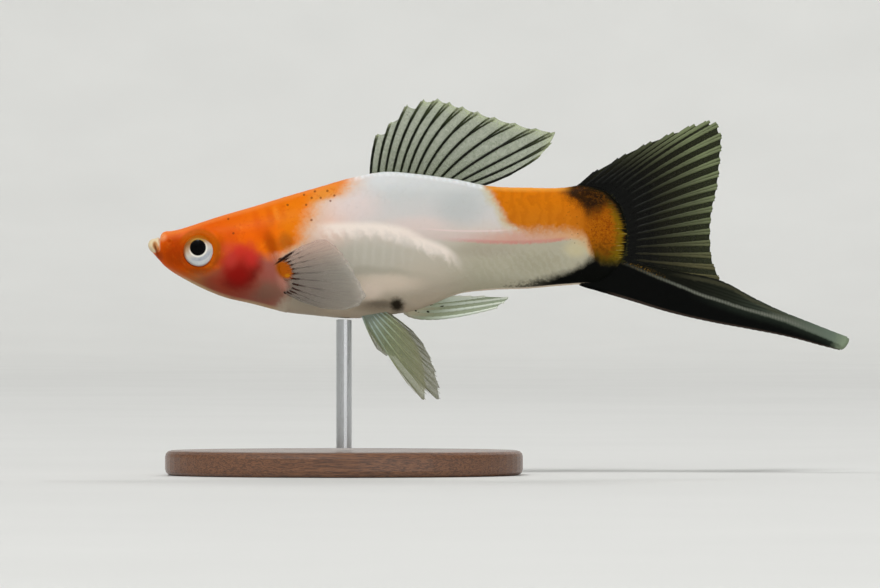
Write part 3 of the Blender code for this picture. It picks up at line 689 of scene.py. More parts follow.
def grown(piece, tree, values):
    """Runs a tree on a piece with these inputs and keeps the plain mesh."""
    modifier = piece.modifiers.new(tree.name, "NODES")
    modifier.node_group = tree
    for item in tree.interface.items_tree:
        if item.in_out == "INPUT" and item.name in values:
            modifier[item.identifier] = values[item.name]
    graph = bpy.context.evaluated_depsgraph_get()
    mesh = bpy.data.meshes.new_from_object(piece.evaluated_get(graph))
    piece.modifiers.clear()
    piece.data = mesh
    return piece


def scale_tree():
    """Scales in staggered columns on the skin's map, wrapped over the skin."""
    nodes, given = new_tree(
        "Scale coat",
        [("Plate", "Object"), ("Columns", "Int"), ("Rows", "Int"), ("From", "Float"),
         ("To", "Float"), ("Length", "Float"), ("Width", "Float"), ("Seed", "Int"),
         ("Material", "Material")],
    )
    skin = given["Geometry"]
    add = nodes.add
    lay = add("GeometryNodeMeshGrid", {}, {"Size X": 1.0, "Size Y": 1.0,
              "Vertices X": given["Columns"], "Vertices Y": given["Rows"]})
    flat = add("GeometryNodeInputPosition")
    column = ((add("ShaderNodeSeparateXYZ", {}, {0: flat}, 0) + 0.5) * (given["Columns"] - 1.0))
    column = column.math("ROUND", column)
    row = (add("ShaderNodeSeparateXYZ", {}, {0: flat}, 1) + 0.5) * (given["Rows"] - 1.0)
    row = row.math("ROUND", row)
    drift = add("FunctionNodeRandomValue", {"data_type": "FLOAT"},
                {2: -0.10, 3: 0.10, "Seed": given["Seed"]}, 1)
    odd = column.math("MODULO", column, 2.0)
    pitch = (given["To"] - given["From"]) / (given["Columns"] - 1.0)
    u = given["From"] + (column + drift) * pitch
    v = (row + odd * 0.5 + drift * 0.3) / given["Rows"]
    root = add("ShaderNodeCombineXYZ", {}, {0: u, 1: v})
    points = add("GeometryNodeSetPosition", {}, {0: lay, "Position": root})
    height = sampled(nodes, skin, "FLOAT", named(nodes, "FLOAT", "coat"), v_wrapped(nodes))
    points = add("GeometryNodeDeleteGeometry", {"domain": "POINT"},
                 {0: points, 1: height.math("LESS_THAN", height, 0.06)})
    points = add("GeometryNodeStoreNamedAttribute",
                 {"data_type": "FLOAT_VECTOR", "domain": "POINT"},
                 {0: points, "Name": "root", "Value": add("GeometryNodeInputPosition")})
    plate = add("GeometryNodeObjectInfo", {}, {0: given["Plate"]}, "Geometry")
    size = add("ShaderNodeCombineXYZ", {}, {0: given["Length"], 1: given["Width"], 2: 1.0})
    scales = add("GeometryNodeInstanceOnPoints", {},
                 {0: points, "Instance": plate, "Scale": size})
    scales = add("GeometryNodeRealizeInstances", {}, {0: scales})

    root = named(nodes, "FLOAT_VECTOR", "root")
    away = add("ShaderNodeVectorMath", {"operation": "SUBTRACT"},
               {0: add("GeometryNodeInputPosition"), 1: root})
    patch = add("ShaderNodeVectorMath", {"operation": "SCALE"},
                {0: away, "Scale": BAKE_PATCH / SCALE_LENGTH})
    patch = add("ShaderNodeVectorMath", {"operation": "ADD"}, {0: root, 1: patch})
    scales = add("GeometryNodeStoreNamedAttribute",
                 {"data_type": "FLOAT2", "domain": "CORNER"},
                 {0: scales, "Name": "OFBake", "Value": patch})
    here = v_wrapped(nodes)
    on_skin = sampled(nodes, skin, "FLOAT_VECTOR", add("GeometryNodeInputPosition"), here)
    out = sampled(nodes, skin, "FLOAT_VECTOR", add("GeometryNodeInputNormal"), here)
    coat = sampled(nodes, skin, "FLOAT", named(nodes, "FLOAT", "coat"), here)
    lift = add("ShaderNodeSeparateXYZ", {}, {0: add("GeometryNodeInputPosition")}, 2) * coat
    offset = add("ShaderNodeVectorMath", {"operation": "SCALE"}, {0: out, "Scale": lift})
    place = add("ShaderNodeVectorMath", {"operation": "ADD"}, {0: on_skin, 1: offset})
    scales = add("GeometryNodeSetPosition", {}, {0: scales, "Position": place})
    scales = add("GeometryNodeRemoveAttribute", {}, {0: scales, "Name": "root"})
    scales = add("GeometryNodeSetShadeSmooth", {}, {0: scales})
    close_tree(nodes, scales, given["Material"])
    return nodes.tree


def named(nodes, kind, name):
    """A named attribute, as a field."""
    return nodes.add("GeometryNodeInputNamedAttribute", {"data_type": kind}, {"Name": name})


def v_wrapped(nodes):
    """Position on the skin's map, with the turn round the body brought back into 0 to 1."""
    place = nodes.add("GeometryNodeInputPosition")
    u = nodes.add("ShaderNodeSeparateXYZ", {}, {0: place}, 0)
    v = nodes.add("ShaderNodeSeparateXYZ", {}, {0: place}, 1)
    return nodes.add("ShaderNodeCombineXYZ", {}, {0: u.least(LAST_U), 1: v.math("FRACT", v)})


def sampled(nodes, skin, kind, value, where):
    """A value of the skin, read at a place on its map."""
    node = {0: skin, "Value": value, "Sample UV": where}
    node["UV Map"] = named(nodes, "FLOAT_VECTOR", "OFBake")
    return nodes.add("GeometryNodeSampleUVSurface", {"data_type": kind}, node)


def make_scales(skin):
    coat = skin.copy()
    coat.data = skin.data.copy()
    coat.name = "scales"
    bpy.context.scene.collection.objects.link(coat)
    plate = scale_plate()
    grown(coat, scale_tree(), {
        "Plate": plate, "Columns": SCALE_COLUMNS, "Rows": SCALE_ROWS, "From": SCALE_FROM,
        "To": SCALE_TO, "Length": SCALE_LENGTH, "Width": SCALE_WIDTH / SCALE_ROWS,
        "Seed": 7, "Material": bpy.data.materials["skin"],
    })
    bpy.data.objects.remove(plate)
    return coat


# Eyes


def eye_mesh(name, side):
    """A closed eyeball, domed outwards, with its cup just behind."""
    middle, back, up, out = eye_frame(side)
    steps, turns = 26, 72
    lean = np.linspace(0, math.pi, steps)[1:-1, None]
    turn = np.linspace(0, 2 * math.pi, turns, endpoint=False)[None, :]
    radius = EYE_RADIUS * np.sin(lean)
    depth = np.where(lean < math.pi / 2, EYE_DEPTH, 0.8 * EYE_DEPTH) * np.cos(lean)
    radius, depth, turn = np.broadcast_arrays(radius, depth, turn)
    a, b = radius * np.cos(turn), radius * np.sin(turn)
    grid = middle + a[..., None] * back + b[..., None] * up + depth[..., None] * out
    rings = len(grid)
    ends = [middle + EYE_DEPTH * out, middle - 0.8 * EYE_DEPTH * out]
    faces = []
    for i in range(rings - 1):
        for j in range(turns):
            k = (j + 1) % turns
            faces.append((i * turns + j, i * turns + k, (i + 1) * turns + k, (i + 1) * turns + j))
    for j in range(turns):
        k = (j + 1) % turns
        faces.append((rings * turns, k, j))
        faces.append((rings * turns + 1, (rings - 1) * turns + j, (rings - 1) * turns + k))
    eye = new_object(name, np.concatenate([grid.reshape(-1, 3), ends]), faces, "wet_eye")
    face_outwards(eye)
    return eye


def face_outwards(piece):
    """Turns all faces of a closed mesh outwards."""
    work = bmesh.new()
    work.from_mesh(piece.data)
    bmesh.ops.recalc_face_normals(work, faces=work.faces)
    work.to_mesh(piece.data)
    work.free()


# Fins


class Fin:
    """A fin's middle surface: share runs across the rays, reach from root to edge."""

    def __init__(self, flat, place):
        self.flat, self.place = flat, place

    def points(self, share, reach):
        share, reach = np.broadcast_arrays(share, reach)
        return self.place(self.flat(share, reach), share, reach)

    def normals(self, share, reach):
        step = 0.004
        low, high = np.clip(share - step, 0, 1), np.clip(share + step, 0, 1)
        across = self.points(high, reach) - self.points(low, reach)
        outward = self.points(share, reach + step) - self.points(share, reach - step)
        normal = np.cross(outward, across)
        return normal / (np.linalg.norm(normal, axis=-1, keepdims=True) + 1e-9)


def fan_flat(root_of, tips, bow, inward, skew=1.0):
    """Lays out a fan of bowed rays in the flat, their roots sunk inward. A skew below 1
    moves the bow towards the root."""

    def flat(share, reach):
        shape, s = share.shape, reach[..., None]
        tip = by_share(tips, share.ravel()).reshape(*shape, 2)
        bend = by_share(bow, share.ravel()).reshape(*shape, 1)
        root = root_of(share)
        run = tip - root
        length = np.linalg.norm(run, axis=-1, keepdims=True)
        run = run / length
        side = np.stack([-run[..., 1], run[..., 0]], axis=-1)
        root = root + np.multiply(inward, ROOT_SINK)
        t = np.sign(s) * np.abs(s) ** skew
        return root + (tip - root) * s + side * 4 * t * (1 - t) * bend * length

    return flat


def upright(ripple, waves=1.5):
    """Places a flat fin in the fish's middle plane, with a slight ripple."""

    def place(flat, share, reach):
        wave = np.sin(2 * math.pi * waves * share + 0.6)
        y = ripple * np.clip(reach, 0, None) ** 1.5 * wave
        return np.stack([flat[..., 0], y, flat[..., 1]], axis=-1)

    return place


def outline_height(column, x):
    """Height of the back (column 0) or belly (column 2) line at x."""
    rows = BODY_ROWS[GROOVE_ROWS[1] + 3 :]
    return curve_through(rows[:, column], rows[:, column + 1], x.ravel()).reshape(x.shape)


def root_line(ends, column):
    """A root along the back or belly, between two places."""

    def root(share):
        x = ends[0] + (ends[1] - ends[0]) * share
        return np.stack([x, outline_height(column, x)], axis=-1)

    return root


def tail_root(share):
    """The fan's part of the stalk's rounded end, from the top."""
    return along(STALK_END, share * TAIL_ROOT_SHARE)


def paired_place(side, at, length_way, height_way, stretch=1.0):
    """Sets a flat fin on the body's side."""
    length_way, height_way = np.array(length_way), np.array(height_way)
    normal = np.cross(length_way, height_way)
    normal /= np.linalg.norm(normal)

    def place(flat, share, reach):
        bend = 0.8 * np.clip(reach, 0, None)[..., None] ** 2 * normal * np.sign(normal[1])
        middle = (
            np.array(at)
            + flat[..., :1] * stretch * length_way
            + flat[..., 1:] * height_way
            - bend
        )
        return middle * np.array([1, side, 1])

    return place


def sword_flat(share, reach):
    """The sword between its upper edge, share 0, and its lower edge, share 1."""
    upper, lower = along(SWORD_UPPER, reach), along(SWORD_LOWER, reach)
    middle = upper + (lower - upper) * share[..., None]
    sunk = np.clip(1 - reach / 0.06, 0, 1) ** 2
    return middle + np.stack([-1.8 * sunk, (0.2 + 0.3 * share) * sunk], axis=-1)


def sheet(name, fin, rays, material, scallop=0.0, thick=(0.4, 0.06), steps=34, gaps=6,
          notches=None, round_end=0.0):
    """A fin's web: a closed thin sheet, thicker at the root, with a map of share and reach.
    Notches are shares and depths of the steps in the edge just ahead of the rays."""
    share = np.linspace(0, 1, (rays - 1) * gaps + 1)
    across = np.arange(len(share)) % gaps / gaps
    edge = 1 - scallop * np.sin(math.pi * across) - round_end * np.abs(2 * share - 1) ** 3
    if notches:
        edge -= np.interp(share, *np.transpose(notches)) * across**0.8
    reach = np.linspace(0, 1, steps + 1)[:, None] * edge[None, :]
    share = np.broadcast_to(share[None, :], reach.shape)
    middle, normal = fin.points(share, reach), fin.normals(share, reach)
    half = thick[1] + (thick[0] - thick[1]) * np.exp(-reach / 0.10)
    half = half[..., None] * normal
    rows, columns = reach.shape
    points = np.concatenate([(middle + half).reshape(-1, 3), (middle - half).reshape(-1, 3)])
    back, faces = rows * columns, []
    for i in range(rows - 1):
        for j in range(columns - 1):
            a, b = i * columns + j, i * columns + j + 1
            faces.append((a, b, b + columns, a + columns))
            faces.append((back + a, back + a + columns, back + b + columns, back + b))
    rim = [j for j in range(columns)] + [i * columns + columns - 1 for i in range(1, rows)]
    rim += [(rows - 1) * columns + j for j in range(columns - 2, -1, -1)]
    rim += [i * columns for i in range(rows - 2, 0, -1)]
    faces += [(b, a, back + a, back + b) for a, b in zip(rim, rim[1:] + rim[:1])]
    web = new_object(name, points, faces, material)
    face_outwards(web)
    places = np.tile(np.stack([share, reach], axis=-1).reshape(-1, 2), (2, 1))
    corners = np.empty(len(web.data.loops), np.int32)
    web.data.loops.foreach_get("vertex_index", corners)
    store(web.data, "fin", "FLOAT2", "CORNER", places[corners])
    return web


def ray_lines(fin, rays, splits, width, steps=60, first_split=0, start=0.0, end=1.0,
              spread=0.25):
    """Lines along the rays, with branches after each split, as points and their values."""
    points, edges, reaches, halves, faces = [], [], [], [], []
    gap = 1 / (rays - 1)
    for ray in range(rays):
        levels = len(splits) if ray >= first_split else 0
        for leaf in range(2**levels):
            signs = [1 if leaf >> level & 1 == 0 else -1 for level in range(levels)]
            leaving = [level for level in range(levels) if signs[level] < 0]
            begin = splits[leaving[-1]] if leaving else start
            reach = np.linspace(begin, end, max(6, int(steps * (1 - begin))))
            share = np.full_like(reach, ray * gap)
            half = width(reach)
            for level, sign in enumerate(signs):
                opened = np.clip((reach - splits[level]) / (1 - splits[level]), 0, 1) ** 0.8
                share += sign * gap * spread / (1 + level) ** 1.4 * opened
                half = half * np.where(reach > splits[level], 0.72, 1.0)
            share = np.clip(share, 0, 1)
            base = sum(len(p) for p in points)
            points.append(fin.points(share, reach))
            faces.append(fin.normals(share, reach))
            reaches.append(reach)
            halves.append(half)
            edges += [(base + i, base + i + 1) for i in range(len(reach) - 1)]
    return [np.concatenate(part) for part in (points, faces, reaches, halves)] + [edges]


def ray_tree():
    """Sweeps a flat round section along lines, with the fine joints of fin rays."""
    nodes, given = new_tree(
        "Fin rays",
        [("Joint spacing", "Float"), ("Joint depth", "Float"), ("Flatness", "Float"),
         ("Sides", "Int"), ("Material", "Material")],
    )
    add = nodes.add
    lines = add("GeometryNodeMeshToCurve", {}, {0: given["Geometry"]})
    lines = add("GeometryNodeSetCurveNormal", {"mode": "FREE"},
                {0: lines, 2: named(nodes, "FLOAT_VECTOR", "face")})
    run = add("GeometryNodeSplineParameter", output=1) / given["Joint spacing"]
    joint = abs(run.math("FRACT", run) - 0.5).rise(0.34, 0.5)
    size = named(nodes, "FLOAT", "half") * (1.0 - joint * given["Joint depth"])
    section = add("GeometryNodeCurvePrimitiveCircle", {},
                  {"Resolution": given["Sides"], "Radius": 1.0})
    stretch = add("ShaderNodeCombineXYZ", {}, {0: given["Flatness"], 1: 1.0, 2: 1.0})
    section = add("GeometryNodeTransform", {}, {0: section, "Scale": stretch})
    rays = add("GeometryNodeCurveToMesh", {},
               {0: lines, 1: section, "Scale": size, "Fill Caps": True})
    rays = add("GeometryNodeSetShadeSmooth", {}, {0: rays})
    for name in ("face", "half"):
        rays = add("GeometryNodeRemoveAttribute", {}, {0: rays, "Name": name})
    close_tree(nodes, rays, given["Material"])
    return nodes.tree


def sweep(name, lines, material, tree, flatness=0.8, sides=8, spacing=0.34, depth=0.22):
    """Fin rays as one mesh, swept along their lines."""
    points, face, reach, half, edges = lines
    mesh = bpy.data.meshes.new(name)
    mesh.from_pydata(world(points).tolist(), edges, [])
    piece = bpy.data.objects.new(name, mesh)
    bpy.context.scene.collection.objects.link(piece)
    store(mesh, "face", "FLOAT_VECTOR", "POINT", face)
    store(mesh, "reach", "FLOAT", "POINT", reach)
    store(mesh, "half", "FLOAT", "POINT", half * MM)
    grown(piece, tree, {
        "Joint spacing": spacing * MM, "Joint depth": depth, "Flatness": flatness,
        "Sides": sides, "Material": bpy.data.materials[material],
    })
    return piece


def tapered(root, edge, power=1.0):
    """Half width of a ray, from root to edge, in mm."""
    return lambda reach: root + (edge - root) * np.clip(reach, 0, 1) ** power


def make_dorsal(tree):
    fin = Fin(
        fan_flat(root_line(DORSAL_ROOT, 0), DORSAL_TIPS, DORSAL_BOW, (-0.3, -1)),
        upright(0.35),
    )
    web = sheet("dorsal_web", fin, 14, "dorsal_web", 0.012, (0.25, 0.04), gaps=10,
                notches=[(0.0, 0.20), (0.15, 0.20), (0.24, 0.12), (0.30, 0.03), (1.0, 0.03)])
    lines = ray_lines(fin, 14, [0.62], tapered(0.17, 0.19), first_split=4, end=0.965,
                      spread=0.15)
    rays = sweep("dorsal_rays", lines, "dorsal_rays", tree)
    for piece in (web, rays):
        fitted(piece, "fin_clear", "dorsal_fin")


def make_tail(tree):
    fin = Fin(fan_flat(tail_root, TAIL_TIPS, TAIL_BOW, (-0.6, -0.6)), upright(0.45, 1.2))
    web = sheet("tail_web", fin, 20, "tail_web", 0.008, (0.45, 0.06), gaps=8,
                notches=[(0.0, 0.03), (0.13, 0.04), (0.20, 0.09), (0.30, 0.06), (0.36, 0.012),
                         (1.0, 0.006)])
    width = tapered(0.17, 0.31)
    lines = ray_lines(fin, 20, [0.30], width, steps=80, start=0.05, end=0.995, spread=0.14)
    rays = sweep("tail_rays", lines, "tail_rays", tree, flatness=0.85)
    for piece in (web, rays):
        fitted(piece, "fin_black", "tail_fin")


def make_sword(tree):
    fin = Fin(sword_flat, upright(0.0))
    web = sheet("sword_web", fin, 9, "sword_web", 0.0, (0.5, 0.28), steps=60, round_end=0.008)
    width = tapered(0.34, 0.13)
    lines = ray_lines(fin, 9, [], width, steps=110, end=0.985)
    rays = sweep("sword_rays", lines, "sword_rays", tree, flatness=1.0, spacing=0.45)
    for piece in (web, rays):
        fitted(piece, "fin_black", "sword")


def make_gonopodium(tree):
    fin = Fin(
        fan_flat(root_line(GONOPODIUM_ROOT, 2), GONOPODIUM_TIPS, GONOPODIUM_BOW, (-1, 0.15),
                 GONOPODIUM_SKEW),
        upright(0.0),
    )
    web = sheet("gonopodium_web", fin, 6, "gonopodium_web", 0.02, (0.35, 0.10))
    lines = ray_lines(fin, 6, [], tapered(0.30, 0.15))
    rays = sweep("gonopodium_rays", lines, "gonopodium_rays", tree, flatness=0.95)
    for piece in (web, rays):
        fitted(piece, "fin_clear", "gonopodium")


def make_pectorals(tree):
    length_way = (math.cos(PECTORAL_OUT), math.sin(PECTORAL_OUT), 0)
    height_way = (0, math.sin(PECTORAL_LEAN), math.cos(PECTORAL_LEAN))
    flat = fan_flat(lambda share: by_share(PECTORAL_ROOT, share.ravel()).reshape(*share.shape, 2),
                    PECTORAL_TIPS, PECTORAL_BOW, (-1, 0))
    for end, side in (("left", -1), ("right", 1)):
        fin = Fin(flat, paired_place(side, PECTORAL_AT, length_way, height_way))
        web = sheet("pectoral_web_" + end, fin, 13, "pectoral_web", 0.02, (0.15, 0.035))
        lines = ray_lines(fin, 13, [0.45, 0.72], tapered(0.19, 0.03, 0.7), first_split=1,
                          start=0.19, end=0.98)
        rays = sweep("pectoral_rays_" + end, lines, "pectoral_rays", tree)
        for piece in (web, rays):
            fitted(piece, "fin_clear", "pectoral_fin_" + end)


def make_pelvics(tree):
    flat = fan_flat(lambda share: by_share(PELVIC_ROOT, share.ravel()).reshape(*share.shape, 2),
                    PELVIC_TIPS, PELVIC_BOW, (-1, 0))
    for end, side, drop, stretch in (
        ("left", -1, PELVIC_DROP_LEFT, 1.0),
        ("right", 1, PELVIC_DROP_RIGHT, PELVIC_LENGTH_RIGHT),
    ):
        down, out = math.sin(drop), math.sin(PELVIC_OUT)
        length_way = np.array([math.cos(drop), out, -down])
        length_way /= np.linalg.norm(length_way)
        height_way = (down, 0, math.cos(drop))
        fin = Fin(flat, paired_place(side, PELVIC_AT, length_way, height_way, stretch))
        web = sheet("pelvic_web_" + end, fin, 7, "pelvic_web", 0.02, (0.30, 0.05), gaps=10,
                    notches=[(0.0, 0.55), (0.16, 0.55), (0.17, 0.03), (1.0, 0.03)])
        lines = ray_lines(fin, 7, [0.50, 0.76], tapered(0.17, 0.06), first_split=1, end=0.985)
        rays = sweep("pelvic_rays_" + end, lines, "pelvic_rays", tree)
        for piece in (web, rays):
            fitted(piece, "fin_clear", "pelvic_fin_" + end)


# Finishes

HEAD_EDGE = [  # rear limit of head and gill cover, as height and x
    (-8.5, 14.5), (-6.5, 16.6), (-5.0, 17.6), (-3.5, 17.3), (-1.1, 16.7), (0.3, 18.1), (1.1, 19.1),
    (3.3, 19.6), (4.7, 20.1), (5.8, 20.8), (7.1, 23.6), (8.8, 24.9), (10.5, 25.3),
]
HEAD_LOW = [  # lower limit of the orange head, as x and height
    (-0.5, -1.0), (1.0, -2.1), (2.3, -2.7), (4.7, -3.3), (6.8, -3.0), (9.0, -2.2),
    (12.0, -0.6), (16.3, -0.9), (26.0, -0.9),
]
REAR_EDGE = [  # front limit of the orange rear, as height and x
    (1.0, 47.2), (2.5, 46.8), (3.8, 45.6), (5.1, 44.9), (6.4, 44.0), (7.6, 43.4), (9.0, 43.0),
]
REAR_LOW = [  # lower limit of the orange rear, as x and height
    (42.0, 2.7), (46.0, 2.5), (50.0, 2.4), (53.6, 2.4), (55.2, 2.0), (56.2, 0.6),
    (56.9, -0.7), (57.4, -2.0), (61.5, -2.2),
]
BLACK_TOP = [  # upper limit of the black under the tail stalk, as x and height
    (43.6, -4.6), (46.2, -4.35), (48.8, -3.95), (51.5, -3.4), (54.1, -2.6), (55.4, -1.85),
    (57.1, -1.1), (57.9, -1.75), (61.5, -1.8),
]
SMOKE_LOW = [  # lower limit of the black over the tail root, as x and height
    (51.5, 8.2), (52.7, 7.3), (54.1, 6.5), (55.4, 5.4), (56.4, 4.7), (57.6, 4.9), (58.7, 5.8),
    (59.8, 5.2), (61.5, 3.8),
]
STRIPE_TOP = [(30.0, 2.9), (34.6, 2.7), (42.1, 2.4), (49.0, 2.9), (54.0, 3.0), (57.0, 3.0)]
STRIPE_LOW = [(30.0, 1.9), (35.0, 1.35), (42.3, 0.94), (46.0, 0.80), (50.0, 0.92),
              (53.5, 1.3), (57.0, 1.6)]
CAVITY = [(20.0, 2.9), (24.3, 3.0), (27.2, 3.05), (32.3, 2.45), (33.9, 1.8), (35.5, 0.9),
          (37.5, 0.1), (39.2, -1.0), (40.0, -1.8)]
PECTORAL_BASE = ((17.2, -2.62), (1.38, 0.94), -0.95)
PECTORAL_EDGE = ((17.3, -1.08), (1.45, 0.16), 0.60)  # the dark streak over the base
SPECKLES = [(19.7, 7.0), (21.1, 7.45), (20.7, 6.6), (21.85, 6.6), (23.1, 6.2), (23.6, 6.9),
            (22.7, 7.5), (20.7, 3.75), (10.7, 2.05), (20.0, 5.7), (17.6, 5.7), (10.0, 3.9)]
# Soft stains, and some painted shade and highlight as marked: middle, radii and turn in the side view,
# colour, strength
FLANK_STAINS = [
    ((21.8, 4.0), (4.0, 3.0), 0.0, (238, 186, 158), 0.80),  # blush behind the head
    ((25.6, 5.6), (4.2, 2.8), 0.0, (228, 207, 200), 0.75),
    ((22.4, 0.9), (3.2, 1.6), 0.0, (232, 202, 186), 0.65),
    ((34.6, 3.2), (4.5, 1.1), 0.0, (228, 206, 198), 0.60),
    ((27.5, -1.2), (5.5, 2.6), 0.0, (190, 183, 168), 0.75),  # belly cavity
    ((30.0, -4.4), (4.8, 1.3), 0.0, (226, 207, 187), 0.80),
    ((28.0, -5.5), (1.9, 1.2), 0.0, (236, 216, 198), 0.75),
    ((29.3, -7.3), (3.6, 0.9), 0.0, (126, 112, 94), 0.65),  # round the vent
    ((33.0, 1.3), (5.4, 1.0), -0.32, (234, 222, 212), 0.55),
    ((39.8, 5.2), (3.4, 2.4), 0.0, (184, 187, 185), 0.60),
    ((19.8, -5.4), (3.0, 3.2), 0.0, (146, 140, 126), 0.60),  # behind the gill cover
    ((43.0, -0.2), (4.6, 0.9), 0.0, (170, 158, 140), 0.60),
    ((49.8, -1.6), (4.0, 1.5), 0.0, (162, 154, 130), 0.50),
    ((54.6, 0.1), (1.7, 1.2), 0.0, (206, 192, 152), 0.75),  # before the tail root
]
HEAD_STAINS_AND_PAINTED_LIGHT = [
    ((3.6, 2.1), (3.2, 0.7), 0.18, (226, 108, 50), 0.75),  # top of the snout
    ((1.5, 1.6), (0.6, 0.6), 0.0, (238, 160, 104), 0.80),  # corner over the lips: painted highlight
    ((3.3, -0.9), (2.6, 1.7), -0.5, (156, 54, 0), 0.90),  # lower snout
    ((3.3, 0.5), (1.5, 1.4), 0.0, (166, 56, 2), 0.75),
    ((6.6, -2.9), (2.8, 0.8), 0.0, (152, 68, 2), 0.80),  # under the eye
    ((9.1, -0.4), (0.9, 2.2), 0.0, (178, 74, 2), 0.80),
    ((10.5, -0.1), (1.5, 1.3), 0.0, (206, 74, 50), 0.75),
    ((10.6, 1.6), (1.4, 1.1), 0.0, (214, 78, 12), 0.60),
    ((12.9, 1.9), (2.0, 1.3), 0.0, (238, 98, 2), 0.60),
    ((14.6, 2.2), (1.3, 1.6), 0.5, (214, 82, 0), 0.60),
    ((15.6, 0.5), (0.9, 1.9), 0.35, (168, 68, 0), 0.85),  # shade at the cover's margin
    ((17.4, 0.8), (1.2, 1.4), 0.0, (172, 92, 22), 0.80),
    ((22.3, 6.9), (2.4, 1.3), 0.45, (230, 152, 64), 0.65),  # pale rear end of the patch
    ((18.4, 3.9), (1.6, 2.0), 0.0, (240, 128, 6), 0.60),
    ((15.4, 4.2), (0.5, 1.5), 0.3, (216, 88, 2), 0.50), ((13.6, 4.0), (0.5, 1.2), 0.3, (218, 84, 2), 0.45),
    ((17.0, 5.0), (0.4, 1.2), 0.3, (222, 100, 2), 0.45), ((16.2, 4.6), (0.4, 1.1), 0.3, (246, 142, 40), 0.45),
]
THROAT_STAINS = [
    ((4.6, -3.2), (2.6, 0.7), -0.5, (164, 96, 48), 0.70),
    ((15.2, -2.4), (1.7, 2.8), 0.3, (158, 88, 76), 0.85),  # gill cover
    ((15.0, -5.4), (2.6, 1.5), 0.0, (126, 92, 76), 0.80),
    ((17.2, -4.4), (0.8, 1.7), 0.42, (178, 118, 102), 0.80),
    ((15.4, -0.7), (1.1, 1.0), 0.5, (190, 104, 76), 0.70),
    ((8.6, -4.6), (2.2, 1.3), -0.4, (138, 60, 42), 0.75),
]


def back_line():
    rows = BODY_ROWS[11:-1]
    return [(float(x), float(z)) for x, z in rows[:, 0:2]]


def belly_line():
    rows = BODY_ROWS[9:-1]
    return [(float(x), float(z)) for x, z in rows[:, 2:4]]


def lay_stains_and_painted_light(n, x, z, colour, stains):
    """Lays soft stains, and the painted shade and highlights among them, over a colour."""
    for middle, radii, turn, tint, strength in stains:
        spot = n.spot(x, z, middle, radii, turn).rise(1.4, 0.3)
        colour = n.mix(spot * strength, colour, paint(*tint))
    return colour


def stripes(place, pitch, narrow):
    """Soft lines at this pitch: 1 on a line, 0 between, narrower as narrow nears 0.5."""
    run = place / pitch
    return abs(run.math("FRACT", run) - 0.5).rise(narrow, 0.5)


def flank_colour(n, fish, x, z, coarse, fine):
    """Pearly white above, beige grey below, partly painted shade of the light from above, with what shines
    through from inside.
    """
    height = (z + coarse * 0.9 + 8.0) / 18.0
    # the ramp darkens towards the belly: partly the fish's own beige grey, partly painted shade of the light
    # from above
    colour = n.ramp(height, [
        (0.11, paint(188, 174, 154)), (0.28, paint(198, 186, 167)), (0.44, paint(196, 186, 170)),
        (0.56, paint(216, 201, 189)), (0.67, paint(213, 205, 200)), (0.83, paint(203, 202, 199)),
        (0.97, paint(217, 217, 216)),
    ])
    rear = n.mix(z.rise(-4.5, 0.5), paint(182, 175, 152), paint(180, 172, 150))
    colour = n.mix(x.rise(36, 43) * z.rise(2.6, 0.6), colour, rear)
    colour = lay_stains_and_painted_light(n, x, z, colour, FLANK_STAINS)
    ribs = stripes(x + coarse * 0.9 - z * 0.12, 1.25, 0.15) * x.rise(23, 26) * x.rise(36, 32)
    ribs = ribs * z.rise(-3.6, -1.0) * (x.curve(CAVITY) - z).rise(0.0, 1.0)
    colour = n.mix(ribs * 0.30, colour, paint(206, 198, 186))
    fingers = stripes(x + z * 0.55 + fine * 0.6 + coarse * 3.6, 1.7, 0.0) * 0.6 + fine * 0.4
    glow = (z - x.curve(CAVITY) + fingers + 0.6).rise(-1.1, 0.7)
    glow = glow * (x.curve(CAVITY) + 0.35 - z).rise(-0.5, 0.5) * x.rise(18, 24) * x.rise(40.5, 37.5)
    colour = n.mix(glow * 0.85, colour, paint(252, 236, 223))
    low = (z + 2.6 + abs(x - 28.5) * 0.10 + coarse * 1.2).band(0.0, 0.05, 0.7)
    colour = n.mix(low * x.rise(24, 27) * x.rise(36, 31) * 0.32, colour, paint(152, 144, 126))
    bars = stripes(x + z * 0.7 + fine * 1.2 + coarse * 2.0, 1.1, 0.05) * x.rise(37, 44) * x.rise(55, 53)
    bars = bars * z.rise(-4.9, -3.4) * z.rise(0.9, -0.8)
    colour = n.mix(bars * 0.13, colour, paint(210, 206, 188))
    colour = n.mix((fine * 2.0).rise(0.1, 0.9) * 0.15, colour, paint(160, 154, 142))

    above, under = z - x.curve(STRIPE_LOW), x.curve(STRIPE_TOP) - z
    pink = n.mix(x.rise(38, 47), paint(220, 195, 188), paint(211, 160, 141))
    pink = n.mix(x.rise(48, 54), pink, paint(216, 158, 116))
    pleats = stripes(x + z * 0.3 + fine * 0.6, 1.1, 0.05) * x.rise(43, 47) * 0.35
    stripe = (above + fine * 0.5).rise(-0.3, 0.35) * (under + fine * 0.8 + pleats).rise(-0.6, 1.2)
    colour = n.mix(stripe * x.rise(30, 42) * x.rise(56.5, 54.0) * 0.9, colour, pink)
    line = under.band(0.05, 0.03, 0.16) * x.rise(33, 38) * x.rise(47, 44)
    colour = n.mix(line * 0.7, colour, paint(234, 210, 204))
    line = (above + fine * 0.25).band(0.10, 0.03, 0.36) * x.rise(36, 44) * x.rise(54.5, 52.0)
    return n.mix(line * (0.55 + fine * 0.8), colour, paint(202, 122, 116))


